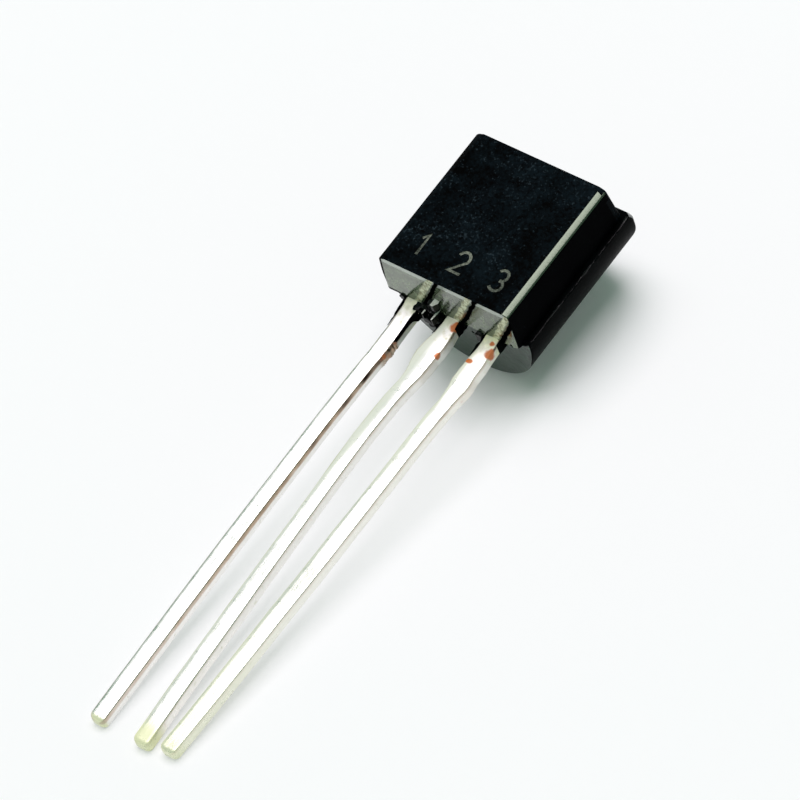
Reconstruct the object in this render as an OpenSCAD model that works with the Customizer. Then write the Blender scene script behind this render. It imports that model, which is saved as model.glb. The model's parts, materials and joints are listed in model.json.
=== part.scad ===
// Three-lead transistor in a moulded TO-92 case, lying on a table as it comes to rest:
// flat side up, on the round back's lower edge and the tips of the leads.
//
// Each piece is drawn in the case's own axes and then laid down by lying().
// Case axes: X across the leads, Y from the leads' exit to the top of the case, Z from the
// parting plane towards the flat. The leads' front faces lie in the parting plane.

/* [Case, flat half] */
// Width across the parting plane
front_w = 4.4; // [4.2:0.02:4.7]
// Length from the leads' exit to the top, at the parting plane
case_len = 4.65; // [4.3:0.05:5.0]
// Depth from the parting plane to the flat
front_depth = 1.3; // [1.0:0.05:1.7]
// Draft of the two sides, degrees
front_side_draft = 3.5; // [1:0.5:6]
// Draft of the two end faces, degrees
front_end_draft = 5; // [1:0.5:8]
// Width of the bevel along each long edge of the flat
bevel_w = 0.2; // [0.05:0.01:0.25]
// Depth of that bevel
bevel_depth = 0.08; // [0.05:0.01:0.2]

/* [Case, round half] */
// Radius of the half-round back
back_r = 2.25; // [2.1:0.05:2.5]
// Straight side between the parting plane and the start of the round
back_straight = 0.05; // [0.02:0.01:0.4]
// Draft of the two end faces, degrees
back_end_draft = 1; // [1:0.5:5]
// How far the round half is moulded off to the collector's side
mould_shift_x = 0.1; // [0:0.01:0.15]
// How far the round half is moulded off towards the top
mould_shift_y = 0.17; // [0:0.01:0.2]
// Corner radius of both halves, seen square on to the flat
corner_r = 0.15; // [0.05:0.01:0.3]
// Diameter of the ejector pin's mark on the back
ejector_d = 1.2; // [0.8:0.1:1.6]
// Depth of that mark below the back's crown
ejector_depth = 0.11; // [0.1:0.01:0.15]

/* [Leads] */
// Distance between neighbouring leads where they leave the case
pitch = 1.27; // [1.2:0.01:1.35]
// Width of a lead's leg
lead_w = 0.45; // [0.38:0.01:0.5]
// Thickness of the lead strip
lead_t = 0.38; // [0.33:0.01:0.5]
// Rounding of the leads' long edges outside the case
lead_edge_r = 0.12; // [0.04:0.01:0.14]
// Length of the emitter's lead outside the case
emitter_len = 14.05; // [10:0.05:16]
// Length of the base's lead outside the case
base_len = 14.05; // [10:0.05:16]
// Length of the collector's lead outside the case
collector_len = 13.9; // [10:0.05:16]
// Length of the wider part next to the case
shoulder_len = 1.85; // [1.2:0.05:2.5]
// Width of that part
shoulder_w = 0.55; // [0.5:0.01:0.6]
// Width across the stubs left where the bar between the leads was cut
stub_w = 0.67; // [0.62:0.01:0.8]
// Length of those stubs along the lead
stub_len = 0.65; // [0.3:0.05:0.8]
// Length over which a stub runs out into the leg
stub_runout = 0.2; // [0.1:0.05:0.4]
// Length over which a lead's tip is rounded
tip_len = 0.17; // [0.1:0.01:0.25]

/* [How the leads are bent] */
// Sideways lean of the emitter's leg, measured at its tip
emitter_lean = 0.27; // [-0.3:0.01:0.3]
// Sideways lean of the base's leg
base_lean = 0.44; // [-0.3:0.01:0.45]
// Sideways lean of the collector's leg
collector_lean = -0.04; // [-0.1:0.01:0.3]
// Bow of the emitter's leg at mid length
emitter_bow = -0.02; // [-0.1:0.01:0.1]
// Bow of the base's leg
base_bow = -0.08; // [-0.1:0.01:0.1]
// Bow of the collector's leg
collector_bow = 0.1; // [-0.05:0.01:0.1]

/* [Lead frame inside the case] */
// Width of each strip where it runs through the resin
stem_w = 0.5; // [0.4:0.01:0.54]
// Depth of the locking notches in each side of a strip
notch_depth = 0.1; // [0.05:0.01:0.13]
// Length of those notches
notch_len = 0.3; // [0.2:0.05:0.35]
// Resin in front of those notches, from the round half's end face
notch_cover = 0.3; // [0.2:0.05:0.35]
// Clear gap between two strips inside the case
frame_gap = 0.4; // [0.3:0.05:0.45]
// Length of the base's post inside the case
base_post_len = 1.3; // [1.1:0.05:1.4]
// Width of the pad on the base's post
base_pad_w = 0.9; // [0.7:0.05:1.0]
// Length of the pad on the base's post
base_pad_len = 0.5; // [0.4:0.05:0.6]
// Length of the emitter's post inside the case
emitter_post_len = 2.9; // [2.6:0.05:3.2]
// Width of the pad on the emitter's post
emitter_pad_w = 0.9; // [0.7:0.05:0.95]
// Length of the pad on the emitter's post
emitter_pad_len = 1.0; // [0.8:0.05:1.2]
// Length of the collector's paddle that carries the chip
paddle_len = 1.7; // [1.5:0.05:2.0]

/* [Chip and bond wires] */
// Side of the square chip
die_w = 0.5; // [0.35:0.05:0.7]
// Thickness of the chip
die_t = 0.2; // [0.15:0.01:0.3]
// Thickness of the layer that fixes the chip to its paddle
attach_t = 0.03; // [0.02:0.005:0.05]
// How far that layer spreads past the chip on each side
attach_spread = 0.04; // [0.02:0.01:0.08]
// Diameter of a bond wire
wire_d = 0.05; // [0.04:0.005:0.06]
// Rise of a bond wire's loop above the line between its ends
wire_loop = 0.3; // [0.2:0.05:0.4]

/* [Resin left between two leads] */
// How far the web of resin stands out from the case
web_len = 0.26; // [0.1:0.01:0.35]

/* [Hidden] */
$fn = 64;

// Places of the three leads
emitter_x = -pitch;
base_x = 0;
collector_x = pitch;

// Sections of the case
back_depth = back_straight + back_r;
front_top_half_w = front_w / 2 - tan(front_side_draft) * (front_depth - bevel_depth);
cut_past = 1;

// Lead frame: the paddle starts a gap above the base's pad and beside the emitter's pad
emitter_pad_right = emitter_x + emitter_pad_w / 2;
paddle_left = emitter_pad_right + frame_gap;
paddle_right = collector_x + stem_w / 2;
paddle_low = base_post_len + frame_gap;

// Chip, centred on the paddle
die_x = (paddle_left + paddle_right) / 2;
die_y = paddle_low + paddle_len / 2;
die_top = attach_t + die_t;
bond_inset = die_w / 4;

// Steps along a curved leg, round a lead's edge and its tip, round a corner of the case,
// along a wire and round it
leg_steps = 12;
edge_steps = 3;
tip_steps = 4;
corner_steps = 6;
wire_steps = 12;
wire_sides = 8;

// How far a lead's outer part runs back over its stem, and the slope at the start of a stub
overlap = 0.05;
stub_rise = 0.04;
// Size of a lead's section at the very end of its tip, against its full size
tip_end = 0.5;

// Rounding of a tip: place along it from its end, and size of its section, for angle a from 0 to 90
function tip_place(a) = tip_len * (1 - sin(a));
function tip_size(a) = 1 - (1 - tip_end) * (1 - cos(a));

// The laid-down case rests on the low corner of its round half and on the tip of the longest lead,
// which touches at the first step of its rounding
reach = max(emitter_len, base_len, collector_len);
touch_a = 90 / tip_steps;
touch_y = tip_place(touch_a) - reach;
touch_z = -lead_t * (1 + tip_size(touch_a)) / 2;
heel_y = mould_shift_y + tan(back_end_draft) * back_depth;
lie_angle = atan((back_depth + touch_z) / (heel_y - touch_y));
lie_height = -touch_y * sin(lie_angle) - touch_z * cos(lie_angle);
far_y = (case_len + mould_shift_y - tan(back_end_draft) * back_depth) * cos(lie_angle)
    + back_depth * sin(lie_angle);
near_y = lead_t * (1 - tip_end) / 2 * sin(lie_angle) - reach * cos(lie_angle);
right_x = max(front_w / 2, back_r + mould_shift_x);
left_x = max(front_w / 2, back_r - mould_shift_x);

// Lays a piece down, with the box round the whole transistor centred on the origin
module lying() {
    translate([(left_x - right_x) / 2, -(far_y + near_y) / 2, lie_height])
        rotate([lie_angle, 0, 0])
            children();
}

// ---- case ----

function corner(x, y, r, from) =
    [for (i = [0 : corner_steps]) let (a = from + 90 * i / corner_steps) [x + r * cos(a), y + r * sin(a)]];

// Rectangle from [-w/2, 0] to [w/2, len] with round corners
module rounded_plan(w, len, r) {
    polygon(concat(
        corner(w / 2 - r, r, r, 270),
        corner(w / 2 - r, len - r, r, 0),
        corner(r - w / 2, len - r, r, 90),
        corner(r - w / 2, r, r, 180)
    ));
}

// Extrudes a section drawn in X and Z along the whole case
module along_case() {
    translate([0, case_len + cut_past, 0])
        rotate([90, 0, 0])
            linear_extrude(case_len + 2 * cut_past)
                children();
}

// Extrudes a section drawn in Y and Z right across the case
module across_case() {
    span = front_w + 2 * cut_past;
    translate([-span / 2, 0, 0])
        rotate([90, 0, 90])
            linear_extrude(span)
                children();
}

module front_half() {
    low_w = front_w / 2;
    inset = tan(front_end_draft) * front_depth;
    intersection() {
        along_case()
            polygon([
                [-low_w, 0],
                [low_w, 0],
                [front_top_half_w, front_depth - bevel_depth],
                [front_top_half_w - bevel_w, front_depth],
                [bevel_w - front_top_half_w, front_depth],
                [-front_top_half_w, front_depth - bevel_depth]
            ]);
        across_case()
            polygon([
                [0, 0],
                [case_len, 0],
                [case_len - inset, front_depth],
                [inset, front_depth]
            ]);
        linear_extrude(front_depth)
            rounded_plan(front_w, case_len, corner_r);
    }
}

module back_half() {
    inset = tan(back_end_draft) * back_depth;
    translate([mould_shift_x, mould_shift_y, 0])
        difference() {
            intersection() {
                along_case()
                    union() {
                        translate([-back_r, -back_straight])
                            square([2 * back_r, back_straight]);
                        intersection() {
                            translate([0, -back_straight])
                                circle(back_r);
                            translate([-back_r, -back_depth])
                                square([2 * back_r, back_r]);
                        }
                    }
                across_case()
                    polygon([
                        [0, 0],
                        [case_len, 0],
                        [case_len - inset, -back_depth],
                        [inset, -back_depth]
                    ]);
                translate([0, 0, -back_depth])
                    linear_extrude(back_depth)
                        rounded_plan(2 * back_r, case_len, corner_r);
            }
            translate([0, case_len / 2, -back_depth - cut_past])
                cylinder(h = cut_past + ejector_depth, d = ejector_d);
        }
}

// Broken web of resin between the emitter's and the base's shoulders, as thick as the strips
module resin_web() {
    left = emitter_x + shoulder_w / 2;
    right = base_x - shoulder_w / 2;
    width = right - left;
    translate([left, 0, -lead_t])
        linear_extrude(lead_t)
            polygon([
                [0, mould_shift_y + corner_r],
                [0, -0.9 * web_len],
                [0.2 * width, -web_len],
                [0.35 * width, -0.65 * web_len],
                [0.55 * width, -0.8 * web_len],
                [0.75 * width, -0.35 * web_len],
                [width, -0.45 * web_len],
                [width, mould_shift_y + corner_r]
            ]);
}

module case() {
    color("#17191c")
        lying()
            difference() {
                union() {
                    front_half();
                    back_half();
                    resin_web();
                }
                emitter_inner();
                base_inner();
                collector_inner();
                chip();
                chip_fixing();
                emitter_wire();
                base_wire();
            }
}

// ---- leads ----

// Centre of a leg, as a place across the leads, for s from 0 at the shoulder to 1 at the tip
function leg_x(x, lean, bow, s) = x + lean * s + 4 * bow * s * (1 - s);

// Station along a lead: [place along it, centre across it, width, size of its section]
function shoulder_stations(x) = [
    [overlap, x, shoulder_w, 1],
    [stub_len - shoulder_len, x, shoulder_w, 1],
    [stub_len - shoulder_len - stub_rise, x, stub_w, 1],
    [-shoulder_len, x, stub_w, 1]
];

function leg_stations(x, length, lean, bow) =
    let (start = shoulder_len + stub_runout, run = length - tip_len - start)
    [for (i = [0 : leg_steps]) let (s = i / leg_steps)
        [-start - run * s, leg_x(x, lean, bow, s), lead_w, 1]];

function tip_stations(x, length, lean) =
    [for (i = [1 : tip_steps]) let (a = 90 * i / tip_steps)
        [tip_place(a) - length, x + lean, lead_w, tip_size(a)]];

// Rounded section of a lead at one station, as points in the case's axes
function lead_ring(station) =
    let (
        r = lead_edge_r * station[3],
        half_w = station[2] / 2 * station[3] - r,
        half_t = lead_t / 2 * station[3] - r
    )
    [for (q = [0 : 3], i = [0 : edge_steps])
        let (
            a = 90 * (q + i / edge_steps),
            side_x = q == 0 || q == 3 ? half_w : -half_w,
            side_z = q < 2 ? half_t : -half_t
        )
        [station[1] + side_x + r * cos(a), station[0], side_z + r * sin(a) - lead_t / 2]];

// What every strip has outside the case: shoulder, stubs of the cut bar, leg and rounded tip
module outer_strip(x, length, lean, bow) {
    stations = concat(
        shoulder_stations(x),
        leg_stations(x, length, lean, bow),
        tip_stations(x, length, lean)
    );
    ring_size = 4 * (edge_steps + 1);
    last = len(stations) - 1;
    points = [for (station = stations) each lead_ring(station)];
    sides = [for (k = [0 : last - 1], i = [0 : ring_size - 1])
        let (j = (i + 1) % ring_size, p = k * ring_size, q = p + ring_size)
        each [[p + i, q + j, p + j], [p + i, q + i, q + j]]];
    start = [for (i = [0 : ring_size - 1]) i];
    end = [for (i = [ring_size - 1 : -1 : 0]) last * ring_size + i];
    polyhedron(points, concat([start], sides, [end]));
}

// Straight stem into the case with a locking notch in each side
module stem(x, len) {
    notch_y = mould_shift_y + notch_cover;
    difference() {
        translate([x - stem_w / 2, 0])
            square([stem_w, len]);
        for (side = [-1, 1])
            translate([x + side * stem_w / 2 - notch_depth, notch_y])
                square([2 * notch_depth, notch_len]);
    }
}

// Turns an outline into a strip whose front face lies in the parting plane
module strip() {
    translate([0, 0, -lead_t])
        linear_extrude(lead_t)
            children();
}

// What the case holds of each lead
module emitter_inner() {
    strip() {
        stem(emitter_x, emitter_post_len);
        translate([emitter_x - emitter_pad_w / 2, emitter_post_len - emitter_pad_len])
            square([emitter_pad_w, emitter_pad_len]);
    }
}

module base_inner() {
    strip() {
        stem(base_x, base_post_len);
        translate([base_x - base_pad_w / 2, base_post_len - base_pad_len])
            square([base_pad_w, base_pad_len]);
    }
}

module collector_inner() {
    strip() {
        stem(collector_x, paddle_low);
        translate([paddle_left, paddle_low])
            square([paddle_right - paddle_left, paddle_len]);
    }
}

module emitter_lead() {
    color("#e9e8e2")
        lying() {
            emitter_inner();
            outer_strip(emitter_x, emitter_len, emitter_lean, emitter_bow);
        }
}

module base_lead() {
    color("#e9e8e2")
        lying() {
            base_inner();
            outer_strip(base_x, base_len, base_lean, base_bow);
        }
}

module collector_lead() {
    color("#e9e8e2")
        lying() {
            collector_inner();
            outer_strip(collector_x, collector_len, collector_lean, collector_bow);
        }
}

// ---- chip ----

module chip() {
    translate([die_x - die_w / 2, die_y - die_w / 2, attach_t])
        cube([die_w, die_w, die_t]);
}

module chip_fixing() {
    side = die_w + 2 * attach_spread;
    translate([die_x - side / 2, die_y - side / 2, 0])
        cube([side, side, attach_t]);
}

module die() {
    color("#6f7480")
        lying()
            chip();
}

module die_attach() {
    color("#b9b9b4")
        lying()
            chip_fixing();
}

// ---- bond wires ----

// One ring of points round a wire that loops from a to b in an upright plane, for s from 0 to 1
function wire_ring(a, b, s) =
    let (
        flat = [b[0] - a[0], b[1] - a[1]],
        run = norm(flat),
        u = flat / run,
        angle = 180 * s,
        along = run * (1 - cos(angle)) / 2,
        up = a[2] + (b[2] - a[2]) * along / run + wire_loop * sin(angle),
        slope_u = run * sin(angle) / 2,
        slope_z = (b[2] - a[2]) * sin(angle) / 2 + wire_loop * cos(angle),
        slope = norm([slope_u, slope_z]),
        normal_u = slope_z / slope,
        normal_z = -slope_u / slope,
        r = wire_d / 2
    )
    [for (i = [0 : wire_sides - 1])
        let (turn = 360 * (i + 0.5) / wire_sides, n = r * cos(turn), side = r * sin(turn))
        [
            a[0] + u[0] * (along + n * normal_u) - u[1] * side,
            a[1] + u[1] * (along + n * normal_u) + u[0] * side,
            up + n * normal_z
        ]];

// A wire from a to b that leaves and meets both faces at a right angle
module wire(a, b) {
    points = [for (k = [0 : wire_steps]) each wire_ring(a, b, k / wire_steps)];
    sides = [for (k = [0 : wire_steps - 1], i = [0 : wire_sides - 1])
        let (j = (i + 1) % wire_sides, p = k * wire_sides, q = p + wire_sides)
        each [[p + i, p + j, q + j], [p + i, q + j, q + i]]];
    start = [for (i = [wire_sides - 1 : -1 : 0]) i];
    end = [for (i = [0 : wire_sides - 1]) wire_steps * wire_sides + i];
    polyhedron(points, concat(sides, [start, end]));
}

module emitter_wire() {
    wire(
        [die_x - bond_inset, die_y + bond_inset, die_top],
        [emitter_x, emitter_post_len - emitter_pad_len / 2, 0]
    );
}

module base_wire() {
    wire(
        [die_x - bond_inset, die_y - bond_inset, die_top],
        [base_x, base_post_len - base_pad_len / 2, 0]
    );
}

module emitter_bond_wire() {
    color("#d9a441")
        lying()
            emitter_wire();
}

module base_bond_wire() {
    color("#d9a441")
        lying()
            base_wire();
}

case();
emitter_lead();
base_lead();
collector_lead();
die();
die_attach();
emitter_bond_wire();
base_bond_wire();
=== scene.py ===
# %% [markdown]
# # A three-lead transistor in a TO-92 case
# The real part is a chip of silicon on a stamped copper lead frame, moulded into black epoxy.
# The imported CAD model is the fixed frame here. Each piece that shows is made again over it, with
# the rounded edges, resin flash, tool marks and finishes that the plain solids don't have.

# %% Load the fixed frame
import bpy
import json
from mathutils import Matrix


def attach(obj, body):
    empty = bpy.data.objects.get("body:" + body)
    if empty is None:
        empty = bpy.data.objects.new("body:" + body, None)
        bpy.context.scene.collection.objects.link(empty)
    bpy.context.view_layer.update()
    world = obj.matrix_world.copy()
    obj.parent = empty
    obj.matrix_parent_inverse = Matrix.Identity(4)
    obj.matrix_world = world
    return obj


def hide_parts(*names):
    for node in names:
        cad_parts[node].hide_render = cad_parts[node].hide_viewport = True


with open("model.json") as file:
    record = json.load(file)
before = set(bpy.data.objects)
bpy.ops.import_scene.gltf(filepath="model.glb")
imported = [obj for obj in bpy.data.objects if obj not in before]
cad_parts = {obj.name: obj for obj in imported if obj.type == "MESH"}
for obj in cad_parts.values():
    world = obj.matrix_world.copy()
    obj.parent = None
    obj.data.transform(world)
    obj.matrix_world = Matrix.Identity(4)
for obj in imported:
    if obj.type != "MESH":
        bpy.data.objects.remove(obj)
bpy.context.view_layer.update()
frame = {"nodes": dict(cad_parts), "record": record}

# %% [markdown]
# ## Sizes of the moulding
# These are the mould's own sizes in millimetres. The flat half and the round half come from two
# mould plates, and the plates never meet quite true: the round half sits a little to the right and
# a little higher. That leaves a ledge on one side and an overhang above the leads. Drafts are the
# small angles that let a moulding leave its mould.

# %% Sizes in millimetres
import math

MM = 0.001
FRONT_W, CASE_LEN, FRONT_DEPTH = 4.4, 4.65, 1.3
FRONT_SIDE_DRAFT, FRONT_END_DRAFT = math.radians(3.5), math.radians(5)
BEVEL_W, BEVEL_DEPTH = 0.2, 0.08
BACK_R, BACK_STRAIGHT, BACK_END_DRAFT = 2.25, 0.05, math.radians(1)
SHIFT_X, SHIFT_Y = 0.1, 0.17
PITCH, LEAD_T = 1.27, 0.38
LEAD_X = {"emitter_lead": -PITCH, "base_lead": 0.0, "collector_lead": PITCH}
print("case:", FRONT_W, "x", CASE_LEN, "x", FRONT_DEPTH + BACK_STRAIGHT + BACK_R, "mm")

# %% [markdown]
# ## The case's own axes
# A mould maker draws the case square: X across the leads, Y from the leads' exit to the top, Z from
# the parting plane to the flat. On the table it lies tilted. The record says where the flat is and
# which way it faces, so one matrix lays down whatever is drawn square, in millimetres. Its inverse
# brings the CAD model back into the case's axes, to be measured there.

# %% From the case's axes to the table
import json
import bmesh
import bpy
import numpy as np
from mathutils import Matrix, Vector, noise

flat_mount = next(m for m in frame["record"]["mounts"] if m["name"] == "flat")
flat_axis = Vector(flat_mount["axis"])
TILT = math.atan2(-flat_axis.y, flat_axis.z)
lay_down = (
    Matrix.Translation(flat_mount["pos_m"])
    @ Matrix.Rotation(TILT, 4, "X")
    @ Matrix.Scale(MM, 4)
    @ Matrix.Translation((0, -CASE_LEN / 2, -FRONT_DEPTH))
)
stand_up = lay_down.inverted()


def in_case_axes(node):
    """The CAD node's vertices in the case's axes, in millimetres."""
    co = np.array([v.co[:] + (1,) for v in frame["nodes"][node].data.vertices])
    return (co @ np.array(stand_up).T)[:, :3]


case_points = in_case_axes("case")
print("tilt, degrees:", round(math.degrees(TILT), 3))
print("CAD case in its own axes:", case_points.min(0).round(3), case_points.max(0).round(3))

# %% [markdown]
# ## One way to make every solid
# Almost everything here is a section swept along a line: a list of rings with the same number of
# points, joined by quads and closed by two end faces. It is Blender's loft in its plainest form,
# and it always gives a closed skin, which the Boolean modifier needs later.

# %% Rings into a closed mesh
def put(name, data):
    """Adds new data to the scene as an object."""
    made = bpy.data.objects.new(name, data)
    bpy.context.scene.collection.objects.link(made)
    return made


def ring_solid(name, rings, materials, finish=0):
    """Joins rings of points, in the case's axes in millimetres, into one closed mesh object.

    finish is a slot in the list of materials, or a function that gives one for each face."""
    count, last = len(rings[0]), len(rings) - 1
    points = [tuple(p) for ring in rings for p in ring]
    faces = []
    for low in range(0, last * count, count):
        high = low + count
        for i in range(count):
            j = (i + 1) % count
            faces.append((low + i, low + j, high + j, high + i))
    faces.append(tuple(reversed(range(count))))
    faces.append(tuple(range(last * count, (last + 1) * count)))
    mesh = bpy.data.meshes.new(name)
    mesh.from_pydata(points, [], faces)
    mesh.validate()
    for material in materials:
        mesh.materials.append(material)
    for face in mesh.polygons:
        face.material_index = finish(face) if callable(finish) else finish
    return put(name, mesh)


def smooth_step(a, b, x):
    """0 up to a, 1 from b on, and a soft rise between; a may be the larger one."""
    t = min(1.0, max(0.0, (x - a) / (b - a)))
    return t * t * (3 - 2 * t)


print("half way up a soft step:", smooth_step(0.0, 2.0, 1.0))

# %% [markdown]
# ## Colours and nodes
# Colours are written as the sRGB hex values that a paint program shows, and one function turns them
# into the linear numbers that the shader works in. A second one adds a node with its settings and
# its links, so that each material below reads as a short list. A Mix node set to colours takes its
# share in socket 0 and its colours in sockets 6 and 7, and gives the mixture in output 2.

# %% Colour and node helpers
def linear(hex_colour):
    """sRGB hex to linear RGBA."""
    parts = [int(hex_colour[i : i + 2], 16) / 255 for i in (1, 3, 5)]
    return tuple(c / 12.92 if c <= 0.04045 else ((c + 0.055) / 1.055) ** 2.4 for c in parts) + (1.0,)


def feed(tree, node, inputs):
    """Fills a node's inputs: other nodes' outputs are linked, anything else is set as a value."""
    for socket, value in dict(inputs).items():
        if isinstance(value, bpy.types.NodeSocket):
            tree.links.new(value, node.inputs[socket])
        else:
            node.inputs[socket].default_value = value


def add(tree, kind, inputs=(), **settings):
    """Adds a node: settings are its own fields, inputs are values or other nodes' outputs."""
    made = tree.nodes.new(kind)
    for field, value in settings.items():
        setattr(made, field, value)
    feed(tree, made, inputs)
    return made


def new_material(name):
    """An empty node material, with its Principled shader joined to the output."""
    material = bpy.data.materials.new(name)
    material.use_nodes = True
    tree = material.node_tree
    tree.nodes.clear()
    shader = add(tree, "ShaderNodeBsdfPrincipled")
    add(tree, "ShaderNodeOutputMaterial", {"Surface": shader.outputs["BSDF"]})
    return material, tree, shader


def case_millimetres(tree):
    """Coordinates in the case's axes, in millimetres, whichever way the piece lies."""
    place = add(tree, "ShaderNodeTexCoord").outputs["Object"]
    back = Matrix.Rotation(-TILT, 3, "X")
    origin = lay_down @ Vector((0, 0, 0))
    return add(tree, "ShaderNodeMapping", {
        "Vector": place,
        "Location": -(back @ (origin / MM)),
        "Rotation": (-TILT, 0, 0),
        "Scale": (1 / MM, 1 / MM, 1 / MM),
    }).outputs["Vector"]


print("mid grey as linear:", linear("#808080"))

# %% [markdown]
# ## Epoxy moulding compound
# Every face of the case is the same black epoxy filled with ground silica, and only the skin of it
# differs. So one function makes them all: a fine grain in the colour, the roughness and the bump,
# over cloudy flow marks from the resin's run. The real grain is about 0.02 mm, too fine to show, so
# it is drawn at 0.07 mm or a little more. The coordinates are millimetres, so a noise's scale is
# how many of its grains lie in one millimetre.

# %% One epoxy, many skins
GRAIN_MM, FLOW_MM = 0.07, 1.1
COARSE_MM, DUST_MM = 0.09, 0.05


def epoxy(name, colours, rough, bump_mm, sockets, grain_mm=GRAIN_MM, flow_mm=FLOW_MM, wave_mm=0.0):
    """Black moulding compound; colours and rough are pairs, and sockets are the shader's own."""
    material, tree, shader = new_material(name)
    place = case_millimetres(tree)
    grain = add(tree, "ShaderNodeTexNoise", {
        "Vector": place, "Scale": 1 / grain_mm, "Detail": 3.0, "Roughness": 0.6,
    }).outputs["Fac"]
    flow = add(tree, "ShaderNodeTexNoise", {
        "Vector": place, "Scale": 1 / flow_mm, "Detail": 4.0, "Roughness": 0.55, "Distortion": 0.6,
    }).outputs["Fac"]
    both = add(tree, "ShaderNodeMath", {0: grain, 1: flow}, operation="MULTIPLY")
    share = add(tree, "ShaderNodeMapRange", {
        "Value": both.outputs[0], "From Min": 0.16, "From Max": 0.4,
    })
    colour = add(tree, "ShaderNodeMix", {
        0: share.outputs["Result"], 6: linear(colours[0]), 7: linear(colours[1]),
    }, data_type="RGBA")
    rough = add(tree, "ShaderNodeMapRange", {
        "Value": grain, "From Min": 0.3, "From Max": 0.7, "To Min": rough[0], "To Max": rough[1],
    })
    bump = add(tree, "ShaderNodeBump", {"Height": grain, "Distance": bump_mm * MM, "Strength": 1.0})
    if wave_mm:
        bump = add(tree, "ShaderNodeBump", {
            "Height": flow, "Distance": wave_mm * MM, "Strength": 1.0,
            "Normal": bump.outputs["Normal"],
        })
    feed(tree, shader, {
        "Base Color": colour.outputs[2], "Roughness": rough.outputs["Result"],
        "Normal": bump.outputs["Normal"], **sockets,
    })
    return material, tree, shader


print("grain", GRAIN_MM, "mm, flow marks", FLOW_MM, "mm")

# %% [markdown]
# ## Spark-eroded skin of the flat
# The flat was moulded against a steel plate finished by spark erosion, which gives a fine matt grain
# with hardly any shine. Its bluish lighter tone is partly a painted sheen of the room's light. Bare
# silica grains show as pale bluish specks, which are partly painted glints too, more in some areas
# than in others, so a second, slow noise sets the level above which a speck shows.

# %% Matt epoxy of the flat
SPECK_MM, AREAS_PER_MM = 0.07, 0.9
matt_epoxy, tree, shader = epoxy(
    "epoxy_spark_eroded_matt", ("#010101", "#0D161B"), (0.4, 0.6), 0.006,
    {"Specular IOR Level": 0.01}, COARSE_MM,
)
place = case_millimetres(tree)
# Pale bluish specks: silica grains, and partly painted glints.
specks_and_glints = add(tree, "ShaderNodeTexNoise", {"Vector": place, "Scale": 1 / SPECK_MM, "Detail": 1.0})
areas = add(tree, "ShaderNodeTexNoise", {"Vector": place, "Scale": AREAS_PER_MM, "Detail": 2.0})
level = add(tree, "ShaderNodeMapRange", {
    "Value": areas.outputs["Fac"], "From Min": 0.35, "From Max": 0.65, "To Min": 0.7, "To Max": 0.56,
})
over = add(tree, "ShaderNodeMath", {
    0: specks_and_glints.outputs["Fac"], 1: level.outputs["Result"],
}, operation="SUBTRACT")
shown = add(tree, "ShaderNodeMapRange", {"Value": over.outputs[0], "From Min": 0.0, "From Max": 0.22})
resin = shader.inputs["Base Color"].links[0].from_socket
speckled = add(tree, "ShaderNodeMix", {
    0: shown.outputs["Result"], 6: resin, 7: linear("#29343A"),
}, data_type="RGBA")
feed(tree, shader, {"Base Color": speckled.outputs[2]})
print(matt_epoxy.name, "grain", COARSE_MM, "mm, specks", SPECK_MM, "mm")

# %% [markdown]
# ## The same epoxy against polished steel
# The right bevel and the end faces are moulded against polished steel, so the resin's own skin is
# glossy there and mirrors the table and the leads. The end faces' base colour, grey on the flat half
# and greener on the round one, is a painted sheen of the lit table that they mirror. The long sides
# and the round back are worn smooth and take almost no light.

# %% Glossy, sheen-painted and worn epoxy
bevel_epoxy = epoxy("epoxy_polished_bevel", ("#080A09", "#101310"), (0.22, 0.3), 0.001, {
    "IOR": 1.75, "Specular IOR Level": 0.8, "Specular Tint": linear("#EBFFE2"),
})[0]
# The flat half's end face: its grey-green base colour is a painted sheen.
end_epoxy, end_tree, end_shader = epoxy(
    "epoxy_polished_end_face", ("#0E140C", "#68745C"), (0.08, 0.3), 0.0015,
    {"Coat Roughness": 0.06, "Coat Tint": linear("#EEF6E8")}, COARSE_MM, 0.24, 0.016,
)
# The round half's end face: its greener base colour is a painted sheen.
back_end_epoxy = epoxy(
    "epoxy_back_end_painted_sheen", ("#08140D", "#2B4436"), (0.12, 0.25), 0.0012,
    {"Specular IOR Level": 0.65}, COARSE_MM, 0.3, 0.012,
)[0]
side_epoxy, round_epoxy = (
    epoxy(name, colours, (0.3, 0.45), 0.002, {"Specular IOR Level": shine})[0]
    for name, colours, shine in (
        ("epoxy_worn_side", ("#010102", "#040506"), 0.003),
        ("epoxy_round_back", ("#010202", "#050809"), 0.007),
    )
)
print([m.name for m in (bevel_epoxy, end_epoxy, back_end_epoxy, side_epoxy, round_epoxy)])

# %% [markdown]
# ## Painted reflections of the leads
# Above each exit the polished end face mirrors the lead, and that reflection is painted into its
# colour: a pale olive streak over each lead and, to the right of it, a black one, the lead's dark
# side mirrored. The streaks lean the same way, so they are bands of one slanted coordinate that
# starts again at each lead, with a little noise for a ragged edge.

# %% Where the streaks lie on the end face
STREAK_LEAN = 0.55
MIRRORED_LEAD_AT, MIRRORED_LEAD_HALF = 0.2, 0.1
MIRRORED_SIDE_AT, MIRRORED_SIDE_HALF = 0.43, 0.085
RAG, RAGS_PER_MM, SOFT = 0.14, 4.0, 0.02
EXITS_BELOW = 1.0

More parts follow.
